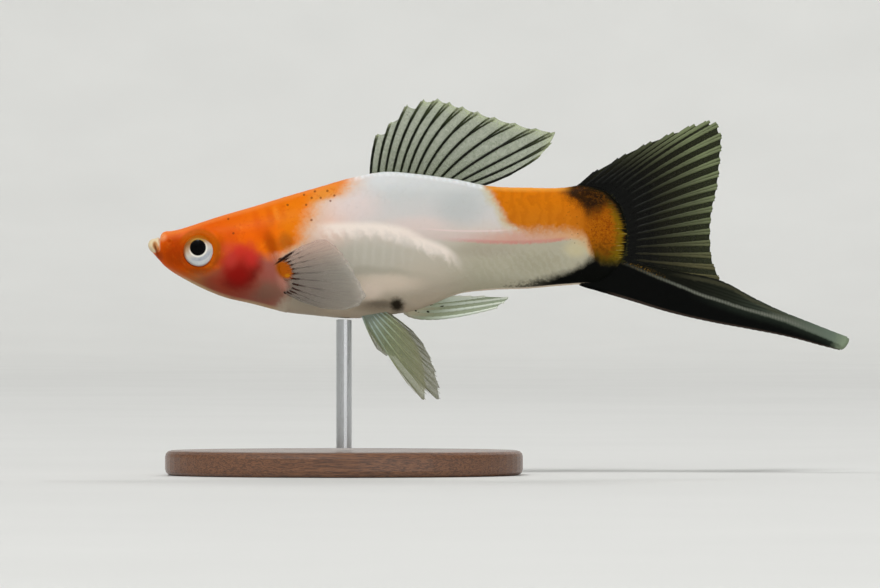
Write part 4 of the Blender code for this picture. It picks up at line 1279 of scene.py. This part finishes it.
def head_colour(n, fish, x, z, coarse, fine):
    """Orange of snout, forehead and nape, darker low on the snout, with painted shade round the eye."""
    colour = n.mix(x.rise(5, 21), paint(222, 90, 6), paint(238, 120, 6))
    colour = lay_stains_and_painted_light(n, x, z, colour, HEAD_STAINS_AND_PAINTED_LIGHT)
    around = n.spot(x, z, (EYE_X, EYE_Z), (1.0, 1.0))
    over = (z - abs(x - EYE_X) * 0.5 + 0.4).rise(-0.6, 1.2)
    over = over.most((x - EYE_X).rise(0.6, 1.6))
    # a darker olive ring above and behind the eye: painted shade round the socket
    colour = n.mix(around.band(2.25, 0.30, 0.50) * over * (0.62 + fine * 0.6), colour, paint(162, 84, 2))
    below = (EYE_Z - z - (x - EYE_X) * 0.35).rise(0.2, 1.4)
    # a dark line along the lower edge of the eye: painted shade in the crease
    colour = n.mix(around.band(1.98, 0.06, 0.16) * below * 0.6, colour, paint(96, 40, 10))
    colour = n.mix((fine + coarse * 0.5).rise(0.02, 0.30) * 0.38, colour, paint(206, 74, 2))
    colour = n.mix((coarse - fine * 0.4).rise(0.05, 0.4) * 0.30, colour, paint(246, 140, 34))
    return colour


def throat_colour(n, x, z):
    """Chin, throat and gill cover."""
    colour = n.ramp(x / 20.0, [
        (0.10, paint(182, 136, 92)), (0.35, paint(150, 90, 58)), (0.60, paint(140, 82, 68)),
        (0.78, paint(152, 92, 78)), (0.92, paint(150, 116, 98)),
    ])
    colour = lay_stains_and_painted_light(n, x, z, colour, THROAT_STAINS)
    chin = (x.curve(chin_line()) + 0.35 - z).rise(-0.2, 0.15)
    return n.mix(chin * 0.75, colour, paint(190, 164, 124))


def chin_line():
    return [(float(x), float(z)) for x, z in BODY_ROWS[[2, 5, 9, 11, 13, 14, 15, 16, 17], 2:4]]


def gill_colour(n, x, z, coarse, fine, colour):
    """The red gills that shine through the cover."""
    red = n.mix((z - (x - 11.8) * 0.3).rise(-4.2, 0.6), paint(116, 24, 16), paint(204, 52, 40))
    deep = n.spot(x, z, (11.3, -3.3), (1.7, 1.6)).rise(1.4, 0.2)
    red = n.mix(deep * 0.85, red, paint(144, 12, 8))
    back = n.spot(x, z, (13.3, -0.9), (1.1, 1.8), -0.4).rise(1.3, 0.2)
    red = n.mix(back * 0.6, red, paint(206, 48, 44))
    pale = n.spot(x, z, (10.4, -1.3), (0.9, 1.3)).rise(1.4, 0.2)
    red = n.mix(pale * 0.6, red, paint(190, 62, 52))
    halo = (n.spot(x, z, (11.2, -3.0), (3.7, 4.0), -0.7) + coarse * 0.5).rise(1.15, 0.5)
    colour = n.mix(halo * z.rise(0.4, -1.4) * 0.55, colour, paint(158, 52, 34))
    mask = (n.spot(x, z, (11.7, -2.3), (2.5, 3.4), -0.46) + coarse * 0.5 + fine * 0.12).rise(1.25, 0.60)
    return n.mix(mask * 0.95, colour, red)


def rear_colour(n, fish, x, z, coarse, fine, grain):
    """Orange of the tail stalk, rust-red and speckled on the tail root."""
    colour = n.mix((z + coarse).rise(3.0, 7.5), paint(204, 114, 18), paint(216, 116, 4))
    colour = n.mix((fine + coarse * 0.6).rise(0.05, 0.35) * 0.35, colour, paint(194, 100, 2))
    colour = n.mix((fine + grain * 0.5).rise(-0.05, -0.4) * 0.40, colour, paint(222, 140, 12))
    mottle = stripes(x + coarse * 4.0 + fine, 1.6, 0.0) * 0.6 + coarse
    colour = n.mix(mottle.rise(0.1, 0.6) * 0.30, colour, paint(182, 92, 2))
    root = n.mix((fine * 2.0 + grain).rise(-0.4, 0.4), paint(140, 66, 0), paint(188, 108, 8))
    root = n.mix((z + fine * 2.0).rise(2.4, -1.0) * 0.9, root, paint(96, 60, 4))
    colour = n.mix(x.rise(54.0, 57.5), colour, root)
    rust = (fine * 1.8 + grain * 1.4).rise(0.08, 0.40) * x.rise(54.0, 57.0) * z.rise(-0.5, 1.5)
    colour = n.mix(rust * 0.75, colour, paint(116, 36, 0))
    streak = n.add("ShaderNodeVectorMath", {"operation": "MULTIPLY"}, {0: fish, 1: (0.4, 1.0, 5.0)})
    streak = n.noise(streak, 1.0, 2.0) - 0.5
    end = z.curve([(b, a) for a, b in STALK_END][::-1]) - x
    colour = n.mix((end + streak * 2.0).rise(2.3, 1.0) * 0.9, colour, paint(116, 92, 6))
    colour = n.mix((end + streak * 2.2).rise(1.0, 0.3), colour, paint(13, 15, 8))
    spikes = (streak + grain * 0.3).rise(0.08, 0.24) * end.band(0.85, 0.35, 0.5)
    return n.mix(spikes * 0.65, colour, paint(158, 152, 84))


def mouth_colour(n, x, z, colour):
    """Pale lips, with painted shade in the brown cleft between them and under and behind the lips."""
    lips = n.spot(x, z, (0.50, 0.65), (0.95, 1.0)).rise(1.25, 0.9) * x.rise(1.35, 1.0)
    colour = n.mix(lips, colour, paint(222, 203, 168))
    inside = n.spot(x, z, (0.62, 0.45), (0.36, 0.62), 0.25).rise(1.3, 0.6)
    colour = n.mix(inside * 0.9, colour, paint(190, 128, 70))
    corner = (x - z * 0.2).rise(0.70, 0.95) * z.rise(0.7, 0.1)
    colour = n.mix(corner * lips, colour, paint(196, 112, 48))
    # painted shade in the cleft between the lips
    cleft = (x + z * 0.32).band(0.70, 0.04, 0.22) * z.rise(-1.3, -0.5) * z.rise(1.0, 0.3)
    colour = n.mix(cleft * 0.85, colour, paint(104, 46, 18))
    # painted shade under and behind the lips
    chin = n.spot(x, z, (1.15, -0.75), (0.55, 0.75), 0.4).rise(1.3, 0.4)
    return n.mix(chin * 0.8, colour, paint(160, 58, 6))


def skin_finish():
    n = new_material("skin")
    fish, x, y, z = n.fish_place()
    coarse, fine = n.noise(fish, 0.55, 3.0) - 0.5, n.noise(fish, 2.4, 3.0) - 0.5
    grain = n.noise(fish, 8.0, 2.0) - 0.5
    colour = flank_colour(n, fish, x, z, coarse, fine)

    ragged = coarse * 1.8 + fine * 1.1 + grain * 0.3
    ahead = z.curve(HEAD_EDGE) - x + ragged
    colour = n.mix(ahead.rise(-4.2, -0.6) * z.rise(-2.5, 0.5) * 0.75, colour, paint(224, 190, 168))
    colour = n.mix(ahead.rise(-2.2, 0.2) * z.rise(-1.5, 0.5) * 0.85, colour, paint(228, 158, 96))
    above = (z - x.curve(HEAD_LOW) + ragged * 0.5).rise(-0.9, 0.8)
    orange = head_colour(n, fish, x, z, coarse, fine)
    head = n.mix(above, throat_colour(n, x, z), orange)
    head = gill_colour(n, x, z, coarse, fine, head)
    head = mouth_colour(n, x, z, head)
    colour = n.mix((ahead + z.rise(-1.0, -3.5) * 0.4).rise(-1.3, 1.1), colour, head)

    over = (z - x.curve(REAR_LOW) + coarse * 1.6 + fine * 0.8).rise(-1.0, 1.0)
    behind = x - z.curve(REAR_EDGE) + coarse * 1.8 + fine * 0.7
    colour = n.mix(behind.rise(-1.6, -0.1) * over * 0.6, colour, paint(204, 184, 132))
    glow = (z - x.curve(REAR_LOW) + ragged * 0.6).rise(-1.9, 0.1) * x.rise(52.5, 55.0)
    colour = n.mix(glow * z.rise(-1.6, -0.4) * 0.75, colour, paint(222, 168, 112))
    colour = n.mix(behind.rise(-0.7, 0.8) * over, colour,
                   rear_colour(n, fish, x, z, coarse, fine, grain))
    smoke = (z - x.curve(SMOKE_LOW) + ragged * 0.9 + grain * 1.2).rise(-1.3, 0.8)
    smoke = smoke * x.rise(50.9, 54.2)
    rim = (z.curve([(b, a) for a, b in STALK_END][::-1]) - x + fine).rise(1.3, 0.5)
    soot = n.mix((fine + grain + x.rise(56.0, 59.0) * 0.25).rise(0.0, 0.45), paint(16, 14, 6),
                 paint(92, 52, 4))
    colour = n.mix(smoke * 0.96, colour, n.mix(rim, soot, paint(15, 14, 8)))

    depth = x.curve(BLACK_TOP) - z + ragged * 0.5
    patchy = (fine * 1.8 + grain * 0.3 + x.rise(42.0, 55.0) * 1.3 + depth * 0.25).rise(0.15, 0.9)
    moss = (depth + fine * 1.2 + grain).rise(-1.3, 0.1) * x.rise(55.6, 58.0)
    colour = n.mix(moss * 0.85, colour, paint(76, 64, 8))
    under = depth.rise(-0.6, 0.7) * patchy * (x.rise(41.5, 45.0) * 0.6 + x.rise(45.0, 52.0) * 0.4)
    colour = n.mix(under, colour, paint(5, 6, 4))
    # a pale line along the belly's lower edge: painted highlight
    belly_rim_highlight = (x.curve(belly_line()) + 0.22 - z).rise(-0.06, 0.08)
    belly_rim_highlight = belly_rim_highlight * x.rise(37, 41) * x.rise(56.6, 55.6)
    colour = n.mix(belly_rim_highlight * 0.9, colour, paint(222, 204, 182))

    # The pale lines along the back's edge are partly the dotted row of pale scale rims and partly painted
    # highlight of the light from above.
    crest = (x.curve(back_line()) - z).rise(0.8, 0.2)
    beads = stripes(x + coarse * 0.8, 0.8, 0.05)
    white = crest * x.rise(24.5, 27.5) * x.rise(43.2, 42.4)
    colour = n.mix(white * (beads * 0.3 + fine * 1.2 + 0.45), colour, paint(244, 246, 248))
    colour = n.mix(crest * x.rise(25, 22) * 0.45, colour, paint(244, 140, 60))
    colour = n.mix(crest * x.rise(42.6, 43.6) * x.rise(54.5, 52.5) * 0.7, colour, paint(246, 164, 62))

    vent = (n.spot(x, z, (31.6, -7.1), (1.05, 0.95), -0.6) + fine * 0.5 + grain * 0.25).rise(1.35, 0.35)
    smear = (n.spot(x, z, (29.8, -7.0), (2.4, 0.6)) + fine * 0.7).rise(1.3, 0.3) * 0.35
    colour = n.mix(vent.most(smear) * 0.97, colour, paint(30, 24, 16))
    marks = None
    for place in SPECKLES:
        mark = n.spot(x + fine * 0.15, z, place, (0.18, 0.18)).rise(1.2, 0.3)
        marks = mark if marks is None else marks.most(mark)
    colour = n.mix(marks * 0.8, colour, paint(112, 50, 10))
    peppered = n.dots(fish, 1.9, 0.10, 0.12) * x.rise(51.5, 56.0) * z.rise(-0.6, 1.2)
    colour = n.mix(peppered * 0.7, colour, paint(74, 30, 6))
    for place, tint in ((PECTORAL_BASE, (160, 80, 4)), (PECTORAL_EDGE, (34, 12, 6))):
        colour = n.mix(n.spot(x, z, *place).rise(1.35, 0.65), colour, paint(*tint))

    finish(
        "skin",
        {"Subsurface Weight": 0.12, "Subsurface Radius": (1.0, 0.45, 0.3),
         "Subsurface Scale": 0.0004, "Coat Weight": 0.012, "Coat Roughness": 0.3,
         "Specular IOR Level": 0.03},
        colour,
        rough=grain * 0.2 + 0.46,
        bump=(fine + grain * 0.6, 0.02),
    )


def eye_finish():
    """A black pupil in a silvery iris, bright below, with painted shadow of the lid at the upper left, and
    covered by the brow above.
    """
    n = new_material("wet_eye")
    fish, x, y, z = n.fish_place()
    away = n.spot(x, z, (PUPIL_X, PUPIL_Z), (1.0, 1.0))
    rim = n.spot(x, z, (EYE_X, EYE_Z), (1.0, 1.0))
    fine = n.noise(fish, 3.2, 3.0) - 0.5
    streak = n.noise(fish, 9.0, 2.0) - 0.5
    below = (x - EYE_X) * 0.4 - (z - EYE_Z) * 0.9
    # darker and browner towards the upper left: painted shadow of the lid
    colour = n.ramp((below + 1.6) / 3.2, [
        (0.10, paint(150, 100, 52)), (0.32, paint(184, 156, 130)), (0.52, paint(208, 200, 188)),
        (0.75, paint(200, 203, 204)), (1.0, paint(224, 228, 230)),
    ])
    shade = away.band(1.52, 0.12, 0.2) * below.rise(0.1, 0.9) * (fine + 0.6)
    colour = n.mix(shade, colour, paint(160, 168, 180))
    colour = n.mix((fine + streak).rise(0.15, 0.5) * 0.5, colour, paint(146, 154, 166))
    ring = away.band(1.12, 0.05, 0.13)
    colour = n.mix(ring * below.rise(-1.0, 0.2) * 0.85, colour, paint(238, 234, 222))
    colour = n.mix(ring * z.rise(0.7, 1.2) * 0.7, colour, paint(180, 142, 62))
    colour = n.mix(rim.rise(1.70, 1.95) * 0.6, colour, paint(140, 118, 104))
    # a brown edge at the upper left of the iris: painted shadow of the lid
    colour = n.mix(rim.rise(1.62, 1.90) * below.rise(0.5, -0.7) * 0.8, colour, paint(150, 84, 24))
    dip = x - PUPIL_X
    brow = (z + dip * dip * 0.28 + fine * 0.1).rise(1.36, 1.56)
    colour = n.mix(brow, colour, paint(170, 92, 8))
    pupil = away.rise(PUPIL_RADIUS + 0.05, PUPIL_RADIUS - 0.05)
    colour = n.mix(pupil, colour, (0.001, 0.001, 0.001, 1))
    finish(
        "wet_eye",
        {"Coat Weight": 0.15, "Coat Roughness": 0.03, "Coat IOR": 1.25,
         "Specular IOR Level": 0.03},
        colour,
        rough=streak * 0.2 + 0.45,
        bump=(fine + streak * 0.5, 0.015),
    )


def marked(n, x, z, colour, alpha, marks):
    """Solid marks on a fin: middle, radii and turn in the side view, and colour."""
    for middle, radii, turn, tint in marks:
        mark = n.spot(x, z, middle, radii, turn).rise(1.25, 0.7)
        colour = n.mix(mark, colour, paint(*tint))
        alpha = alpha.most(mark) if alpha else None
    return colour, alpha


def web_finish(name, rays, colours, alphas, streak=0.0, speck=0.15, marks=(), fringe=None,
               warm=None):
    """A fin's web: colour and cover from root to edge, darker along the rays."""
    n = new_material(name)
    place = n.add("ShaderNodeUVMap", {"uv_map": "fin"})
    share = n.add("ShaderNodeSeparateXYZ", {}, {0: place}, 0)
    reach = n.add("ShaderNodeSeparateXYZ", {}, {0: place}, 1)
    fish, x, y, z = n.fish_place()
    fine = n.noise(fish, 3.0, 3.0) - 0.5
    grain = n.noise(fish, 12.0, 2.0) - 0.5
    way = share * (rays - 1) + 0.5
    off = abs(way.math("FRACT", way) - 0.5) * 2.0
    colour = n.ramp(reach + fine * 0.15, colours)
    alpha = reach.curve(alphas) + fine * speck + grain * speck
    if streak:
        near = off.rise(0.65, 0.1) * streak
        colour = n.mix(near, colour, paint(10, 11, 9))
        alpha = alpha + near * 0.4
    if warm:
        tint, start, end = warm
        colour = n.mix((share + fine * 0.2).rise(end, start) * 0.8, colour, paint(*tint))
    if fringe:
        tint, start, end = fringe
        lay = n.add("ShaderNodeCombineXYZ", {}, {0: share * 60.0, 1: reach * 10.0})
        thread = n.noise(lay, 1.0, 2.0) - 0.5
        mask = (reach + thread * 0.14).rise(end, start) * share.rise(0.15, 0.4)
        colour = n.mix(mask, colour, paint(*tint))
    colour, alpha = marked(n, x, z, colour, alpha, marks)
    values = {"Coat Weight": 0.02, "Coat Roughness": 0.2, "Specular IOR Level": 0.05}
    finish(name, values, colour, rough=grain * 0.2 + 0.46, alpha=alpha.least(1.0).most(0.04),
           bump=(fine + off * 0.4, 0.02))


def ray_finish(name, stops, alphas=None, marks=(), middle=None, low=None):
    """Fin rays, coloured from root to edge, or by the distance from a middle, and tinted
    below a height."""
    n = new_material(name)
    reach = n.add("ShaderNodeAttribute", {"attribute_name": "reach"}, output=2)
    fish, x, y, z = n.fish_place()
    fine = n.noise(fish, 3.5, 3.0) - 0.5
    run = n.spot(x, z, *middle) if middle else reach
    colour = n.ramp(run + fine * 0.10, stops)
    if low:
        tint, start, end = low
        colour = n.mix(z.rise(start, end) * 0.8, colour, paint(*tint), "MULTIPLY")
    alpha = (reach + fine * 0.06).curve(alphas) if alphas else None
    if marks:
        colour, alpha = marked(n, x, z, colour, alpha, marks)
    values = {"Coat Weight": 0.03, "Coat Roughness": 0.2, "Specular IOR Level": 0.10}
    finish(name, values, colour, rough=fine * 0.2 + 0.45, alpha=alpha)


PECTORAL_MARKS = [
    (*PECTORAL_BASE, (170, 84, 4)),  # fleshy base
    ((17.65, -3.35), (0.34, 0.26), 0.2, (184, 112, 10)),
    (*PECTORAL_EDGE, (34, 12, 6)),
]


GONOPODIUM_MARKS = [
    ((34.0, -7.9), (0.16, 0.12), 0.4, (20, 18, 12)), ((34.9, -7.5), (0.30, 0.13), 0.2, (30, 26, 18)),
    ((35.6, -8.0), (0.20, 0.12), -0.3, (24, 22, 14)), ((36.5, -7.6), (0.34, 0.12), 0.3, (26, 22, 14)),
    ((35.4, -6.9), (0.24, 0.10), 0.5, (48, 42, 30)), ((33.3, -8.0), (0.14, 0.10), 0.0, (26, 24, 16)),
    ((34.4, -8.1), (0.18, 0.09), 0.2, (30, 28, 20)), ((36.0, -7.1), (0.20, 0.08), 0.3, (40, 36, 24)),
    ((37.4, -7.3), (0.26, 0.08), 0.2, (44, 42, 28)), ((35.0, -8.4), (0.16, 0.08), 0.0, (36, 34, 24)),
]


def make_fin_finishes():
    web_finish("dorsal_web", 14,
               [(0.0, paint(88, 98, 64)), (0.5, paint(104, 118, 72)), (0.85, paint(116, 130, 84)),
                (0.97, paint(176, 188, 138))],
               [(0.0, 0.66), (0.2, 0.52), (0.8, 0.40), (1.0, 0.50)], streak=0.25, speck=0.28)
    ray_finish("dorsal_rays", [(0.0, paint(10, 12, 6)), (0.72, paint(16, 20, 9)),
                               (0.88, paint(58, 64, 40)), (1.0, paint(150, 156, 120))],
               [(0.0, 1.0), (0.75, 0.98), (0.9, 0.75), (1.0, 0.6)])
    web_finish("tail_web", 20,
               [(0.0, paint(6, 7, 6)), (0.30, paint(11, 12, 8)), (0.5, paint(24, 24, 14)),
                (0.75, paint(32, 34, 19)), (1.0, paint(42, 46, 27))],
               [(0.0, 1.0), (0.3, 0.99), (0.6, 0.96), (1.0, 0.92)], streak=0.3,
               fringe=((40, 38, 12), 0.03, 0.06))
    ray_finish("tail_rays", [(0.25, paint(4, 5, 3)), (0.40, paint(18, 19, 11)),
                             (0.56, paint(46, 48, 31)), (0.78, paint(78, 83, 58)),
                             (1.0, paint(110, 119, 85))],
               middle=((58.0, 5.0), (15.0, 14.5)), low=((176, 146, 136), 4.0, -3.0))
    sword_finish("sword_web")
    sword_finish("sword_rays")
    web_finish("gonopodium_web", 6,
               [(0.0, paint(186, 176, 152)), (0.3, paint(150, 158, 130)), (1.0, paint(160, 172, 148))],
               [(0.0, 1.0), (0.2, 0.95), (1.0, 0.88)], speck=0.2)
    ray_finish("gonopodium_rays", [(0.0, paint(186, 178, 158)), (0.2, paint(160, 170, 146)),
                                   (0.5, paint(200, 210, 196)), (1.0, paint(218, 224, 210))],
               marks=GONOPODIUM_MARKS)
    web_finish("pectoral_web", 13,
               [(0.0, paint(142, 126, 116)), (0.5, paint(144, 136, 128)), (0.9, paint(154, 150, 142)),
                (0.94, paint(164, 160, 152)), (1.0, paint(196, 190, 180))],
               [(0.0, 0.02), (0.15, 0.05), (0.24, 0.46), (0.6, 0.44), (0.93, 0.42), (1.0, 0.54)],
               speck=0.06, marks=PECTORAL_MARKS, warm=((204, 172, 156), 0.10, 0.55))
    ray_finish("pectoral_rays", [(0.0, paint(60, 40, 30)), (0.22, paint(44, 20, 12)),
                                 (0.32, paint(66, 40, 30)), (0.46, paint(104, 86, 84)),
                                 (1.0, paint(146, 142, 134))],
               [(0.0, 0.05), (0.17, 0.10), (0.22, 1.0), (0.27, 0.85), (0.34, 0.16), (0.40, 0.12),
                (0.46, 0.34), (0.52, 0.10), (1.0, 0.05)],
               marks=PECTORAL_MARKS)
    web_finish("pelvic_web", 7,
               [(0.0, paint(146, 160, 150)), (0.4, paint(126, 134, 100)), (1.0, paint(138, 138, 108))],
               [(0.0, 0.95), (0.25, 0.66), (1.0, 0.50)], speck=0.25)
    ray_finish("pelvic_rays", [(0.0, paint(164, 182, 184)), (0.3, paint(150, 164, 150)),
                               (0.6, paint(152, 156, 124)), (1.0, paint(160, 158, 132))],
               [(0.0, 1.0), (0.5, 0.85), (1.0, 0.6)])


SWORD_LINE = [  # where the grey-green upper part meets the black, as x and height
    (59.0, -1.2), (62.1, -2.4), (64.4, -3.38), (68.5, -5.02), (70.5, -5.85), (73.4, -6.77),
    (75.9, -7.6), (78.8, -8.42), (81.2, -9.14), (83.9, -10.16), (87.8, -11.75), (90.0, -12.8),
]


def sword_finish(name):
    """Black below, dark grey-green above the pale line, paler to the tip."""
    n = new_material(name)
    fish, x, y, z = n.fish_place()
    fine = n.noise(fish, 2.6, 3.0) - 0.5
    over = z - x.curve(SWORD_LINE)
    upper = n.ramp((x - 60.0) / 30.0, [
        (0.0, paint(12, 13, 8)), (0.3, paint(18, 19, 12)), (0.5, paint(34, 38, 29)),
        (0.7, paint(62, 70, 60)), (0.9, paint(98, 110, 97)),
    ])
    lines = stripes(over + fine * 0.12, 0.42, 0.15) * x.rise(86, 78) * x.rise(61, 64)
    upper = n.mix(lines * 0.55, upper, paint(10, 11, 7))
    black = n.mix(x.rise(86, 91), paint(4, 5, 4), paint(40, 52, 46))
    black = n.mix((over + fine * 0.4).rise(-1.3, -0.1) * x.rise(68, 76) * 0.6, black,
                  paint(36, 44, 36))
    colour = n.mix((over + fine * 0.2).rise(-0.35, 0.0), black, upper)
    ticks = stripes(x + fine * 0.3, 0.36, 0.1) * 0.3 + 0.7
    edge = over + fine * 0.2
    pale = edge.rise(-0.24, 0.10) * edge.rise(x.rise(77, 84) * 0.7 + 0.46, 0.05)
    pale = pale * x.rise(58, 71) * x.rise(88, 80) * ticks
    colour = n.mix(pale * 0.9, colour, paint(118, 121, 110))
    crown = (x.curve(SWORD_UPPER) - z + fine * 0.3).band(0.20, 0.10, 0.3)
    crown = crown * x.rise(66, 71) * x.rise(86, 78)
    colour = n.mix(crown * 0.3, colour, paint(92, 90, 68))
    gold = (n.noise(fish, 7.0, 2.0) - 0.5 + fine * 0.5).rise(0.0, 0.22) * over.band(0.4, 0.1, 0.5)
    colour = n.mix(gold * x.rise(59, 60) * x.rise(67, 64) * 0.85, colour, paint(112, 84, 28))
    tip = (x + fine - (z + 12.0) * 0.3).rise(87.0, 89.6)
    colour = n.mix(tip * 0.85, colour, paint(134, 147, 122))
    rim = (x.curve(SWORD_LOWER) + 0.04 - z).rise(-0.06, 0.06) * x.rise(58, 60)
    colour = n.mix(rim * 0.5, colour, paint(80, 68, 60))
    finish(name, {"Specular IOR Level": 0.04}, colour, rough=fine * 0.2 + 0.45, bump=(fine, 0.02))


def make_stand():
    """Walnut base and brushed steel rod, on their own solids."""
    n = new_material("oiled_walnut")
    place = n.fish_place()[0]
    settings = {"operation": "MULTIPLY"}
    grain_way = n.add("ShaderNodeVectorMath", settings, {0: place, 1: (0.07, 0.9, 1.4)})
    rings = n.noise(grain_way, 1.0, 5.0, 0.6)
    fibre_way = n.add("ShaderNodeVectorMath", settings, {0: place, 1: (0.35, 9.0, 9.0)})
    fibre = n.noise(fibre_way, 1.0, 3.0, 0.6)
    band = (rings * 9.0 + fibre * 0.8)
    band = abs(band.math("FRACT", band) - 0.5) * 2.0
    colour = n.mix(band, paint(74, 44, 26), paint(124, 80, 48))
    colour = n.mix(fibre.rise(0.55, 0.75) * 0.6, colour, paint(48, 27, 15))
    finish("oiled_walnut", {"Coat Weight": 0.5, "Coat Roughness": 0.12}, colour,
           rough=fibre * 0.25 + 0.3, bump=(fibre, 0.03))
    n = new_material("brushed_steel")
    place = n.fish_place()[0]
    lay = n.add("ShaderNodeVectorMath", settings, {0: place, 1: (14.0, 14.0, 0.8)})
    scratch = n.noise(lay, 1.0, 3.0)
    colour = n.mix(scratch, paint(176, 178, 180), paint(206, 208, 210))
    finish("brushed_steel", {"Metallic": 1.0}, colour, rough=scratch * 0.2 + 0.2, bump=(scratch, 0.004))
    for node, material in (("stand_base", "oiled_walnut"), ("stand_rod", "brushed_steel")):
        for slot in frame["nodes"][node].material_slots:
            slot.material = bpy.data.materials[material]


# Studio


def make_stage():
    """A pale floor that curves up all round, far outside the view."""
    floor_radius, bend, turns = 1.6, 0.7, 96
    profile = [(0.0, 0.0), (0.4, 0.0), (0.9, 0.0), (floor_radius, 0.0)]
    for i in range(1, 13):
        a = math.pi / 2 * i / 12
        profile.append((floor_radius + bend * math.sin(a), bend * (1 - math.cos(a))))
    profile.append((floor_radius + bend, 1.6))
    mesh = bpy.data.meshes.new("floor")
    work = bmesh.new()
    rows = []
    for radius, height in profile[1:]:
        angles = [2 * math.pi * k / turns for k in range(turns)]
        rows.append([work.verts.new((radius * math.cos(a), radius * math.sin(a), height))
                     for a in angles])
    centre = work.verts.new((0, 0, 0))
    for k in range(turns):
        work.faces.new((centre, rows[0][k], rows[0][(k + 1) % turns]))
        for low, high in zip(rows, rows[1:]):
            work.faces.new((low[k], high[k], high[(k + 1) % turns], low[(k + 1) % turns]))
    bmesh.ops.recalc_face_normals(work, faces=work.faces)
    work.to_mesh(mesh)
    work.free()
    mesh.shade_smooth()
    floor = bpy.data.objects.new("floor", mesh)
    bpy.context.scene.collection.objects.link(floor)
    n = new_material("floor")
    fish = n.fish_place()[0]
    cloud = n.noise(fish, 0.02, 2.0)
    colour = n.mix(cloud, paint(214, 214, 211), paint(222, 222, 219))
    finish("floor", {"Specular IOR Level": 0.1}, colour, rough=cloud * 0.1 + 0.7)
    mesh.materials.append(bpy.data.materials["floor"])


def add_light(name, kind, at, size, power):
    """A light at this place, aimed at the fish: a disk of this width, or a sun of this angle."""
    light = bpy.data.lights.new(name, kind)
    if kind == "SUN":
        light.angle = size
    else:
        light.shape, light.size = "DISK", size
    light.energy = power
    lamp = bpy.data.objects.new(name, light)
    bpy.context.scene.collection.objects.link(lamp)
    lamp.location = at
    aim = Vector((0.005, 0.0, 0.03)) - Vector(at)
    lamp.rotation_euler = aim.to_track_quat("-Z", "Y").to_euler()


def make_lights():
    add_light("key", "SUN", (-0.5, -1.0, 1.5), math.radians(14), 1.6)
    add_light("fill", "AREA", (0.35, -0.85, 0.12), 0.60, 1.4)
    add_light("back", "SUN", (0.4, 1.0, 0.9), math.radians(20), 0.8)
    sky = bpy.data.worlds.new("studio")
    sky.use_nodes = True
    sky.node_tree.nodes["Background"].inputs["Color"].default_value = (0.98, 0.99, 1.0, 1)
    sky.node_tree.nodes["Background"].inputs["Strength"].default_value = 0.47
    bpy.context.scene.world = sky
    bpy.context.scene.view_settings.view_transform = "Standard"


def make_camera():
    """Looks straight along +Y, with the photograph's frame over the fish's middle plane."""
    data = bpy.data.cameras.new("camera")
    data.sensor_width = 36.0
    data.lens = data.sensor_width * CAMERA_AWAY / (PHOTO_WIDTH * PIXEL)
    data.clip_start, data.clip_end = 0.01, 10.0
    camera = bpy.data.objects.new("camera", data)
    bpy.context.scene.collection.objects.link(camera)
    x = (PHOTO_MIDDLE[0] - LIP_PIXEL) * PIXEL
    z = (EYE_LINE_PIXEL - PHOTO_MIDDLE[1]) * PIXEL
    camera.location = world((x, -CAMERA_AWAY, z))
    camera.rotation_euler = (math.pi / 2, 0, 0)
    bpy.context.scene.camera = camera


def main():
    skin_finish()
    eye_finish()
    make_fin_finishes()
    make_camera()
    make_lights()
    make_stage()
    make_stand()
    skin = skin_mesh()
    coat = make_scales(skin)
    fitted(skin, "skin_white", "head", "torso", "tail_stalk")
    fitted(coat, "skin_white")
    for name, side in (("eye_left", -1), ("eye_right", 1)):
        fitted(eye_mesh(name + "_ball", side), "eye", name)
    tree = ray_tree()
    for make in (make_dorsal, make_tail, make_sword, make_gonopodium, make_pectorals, make_pelvics):
        make(tree)


main()
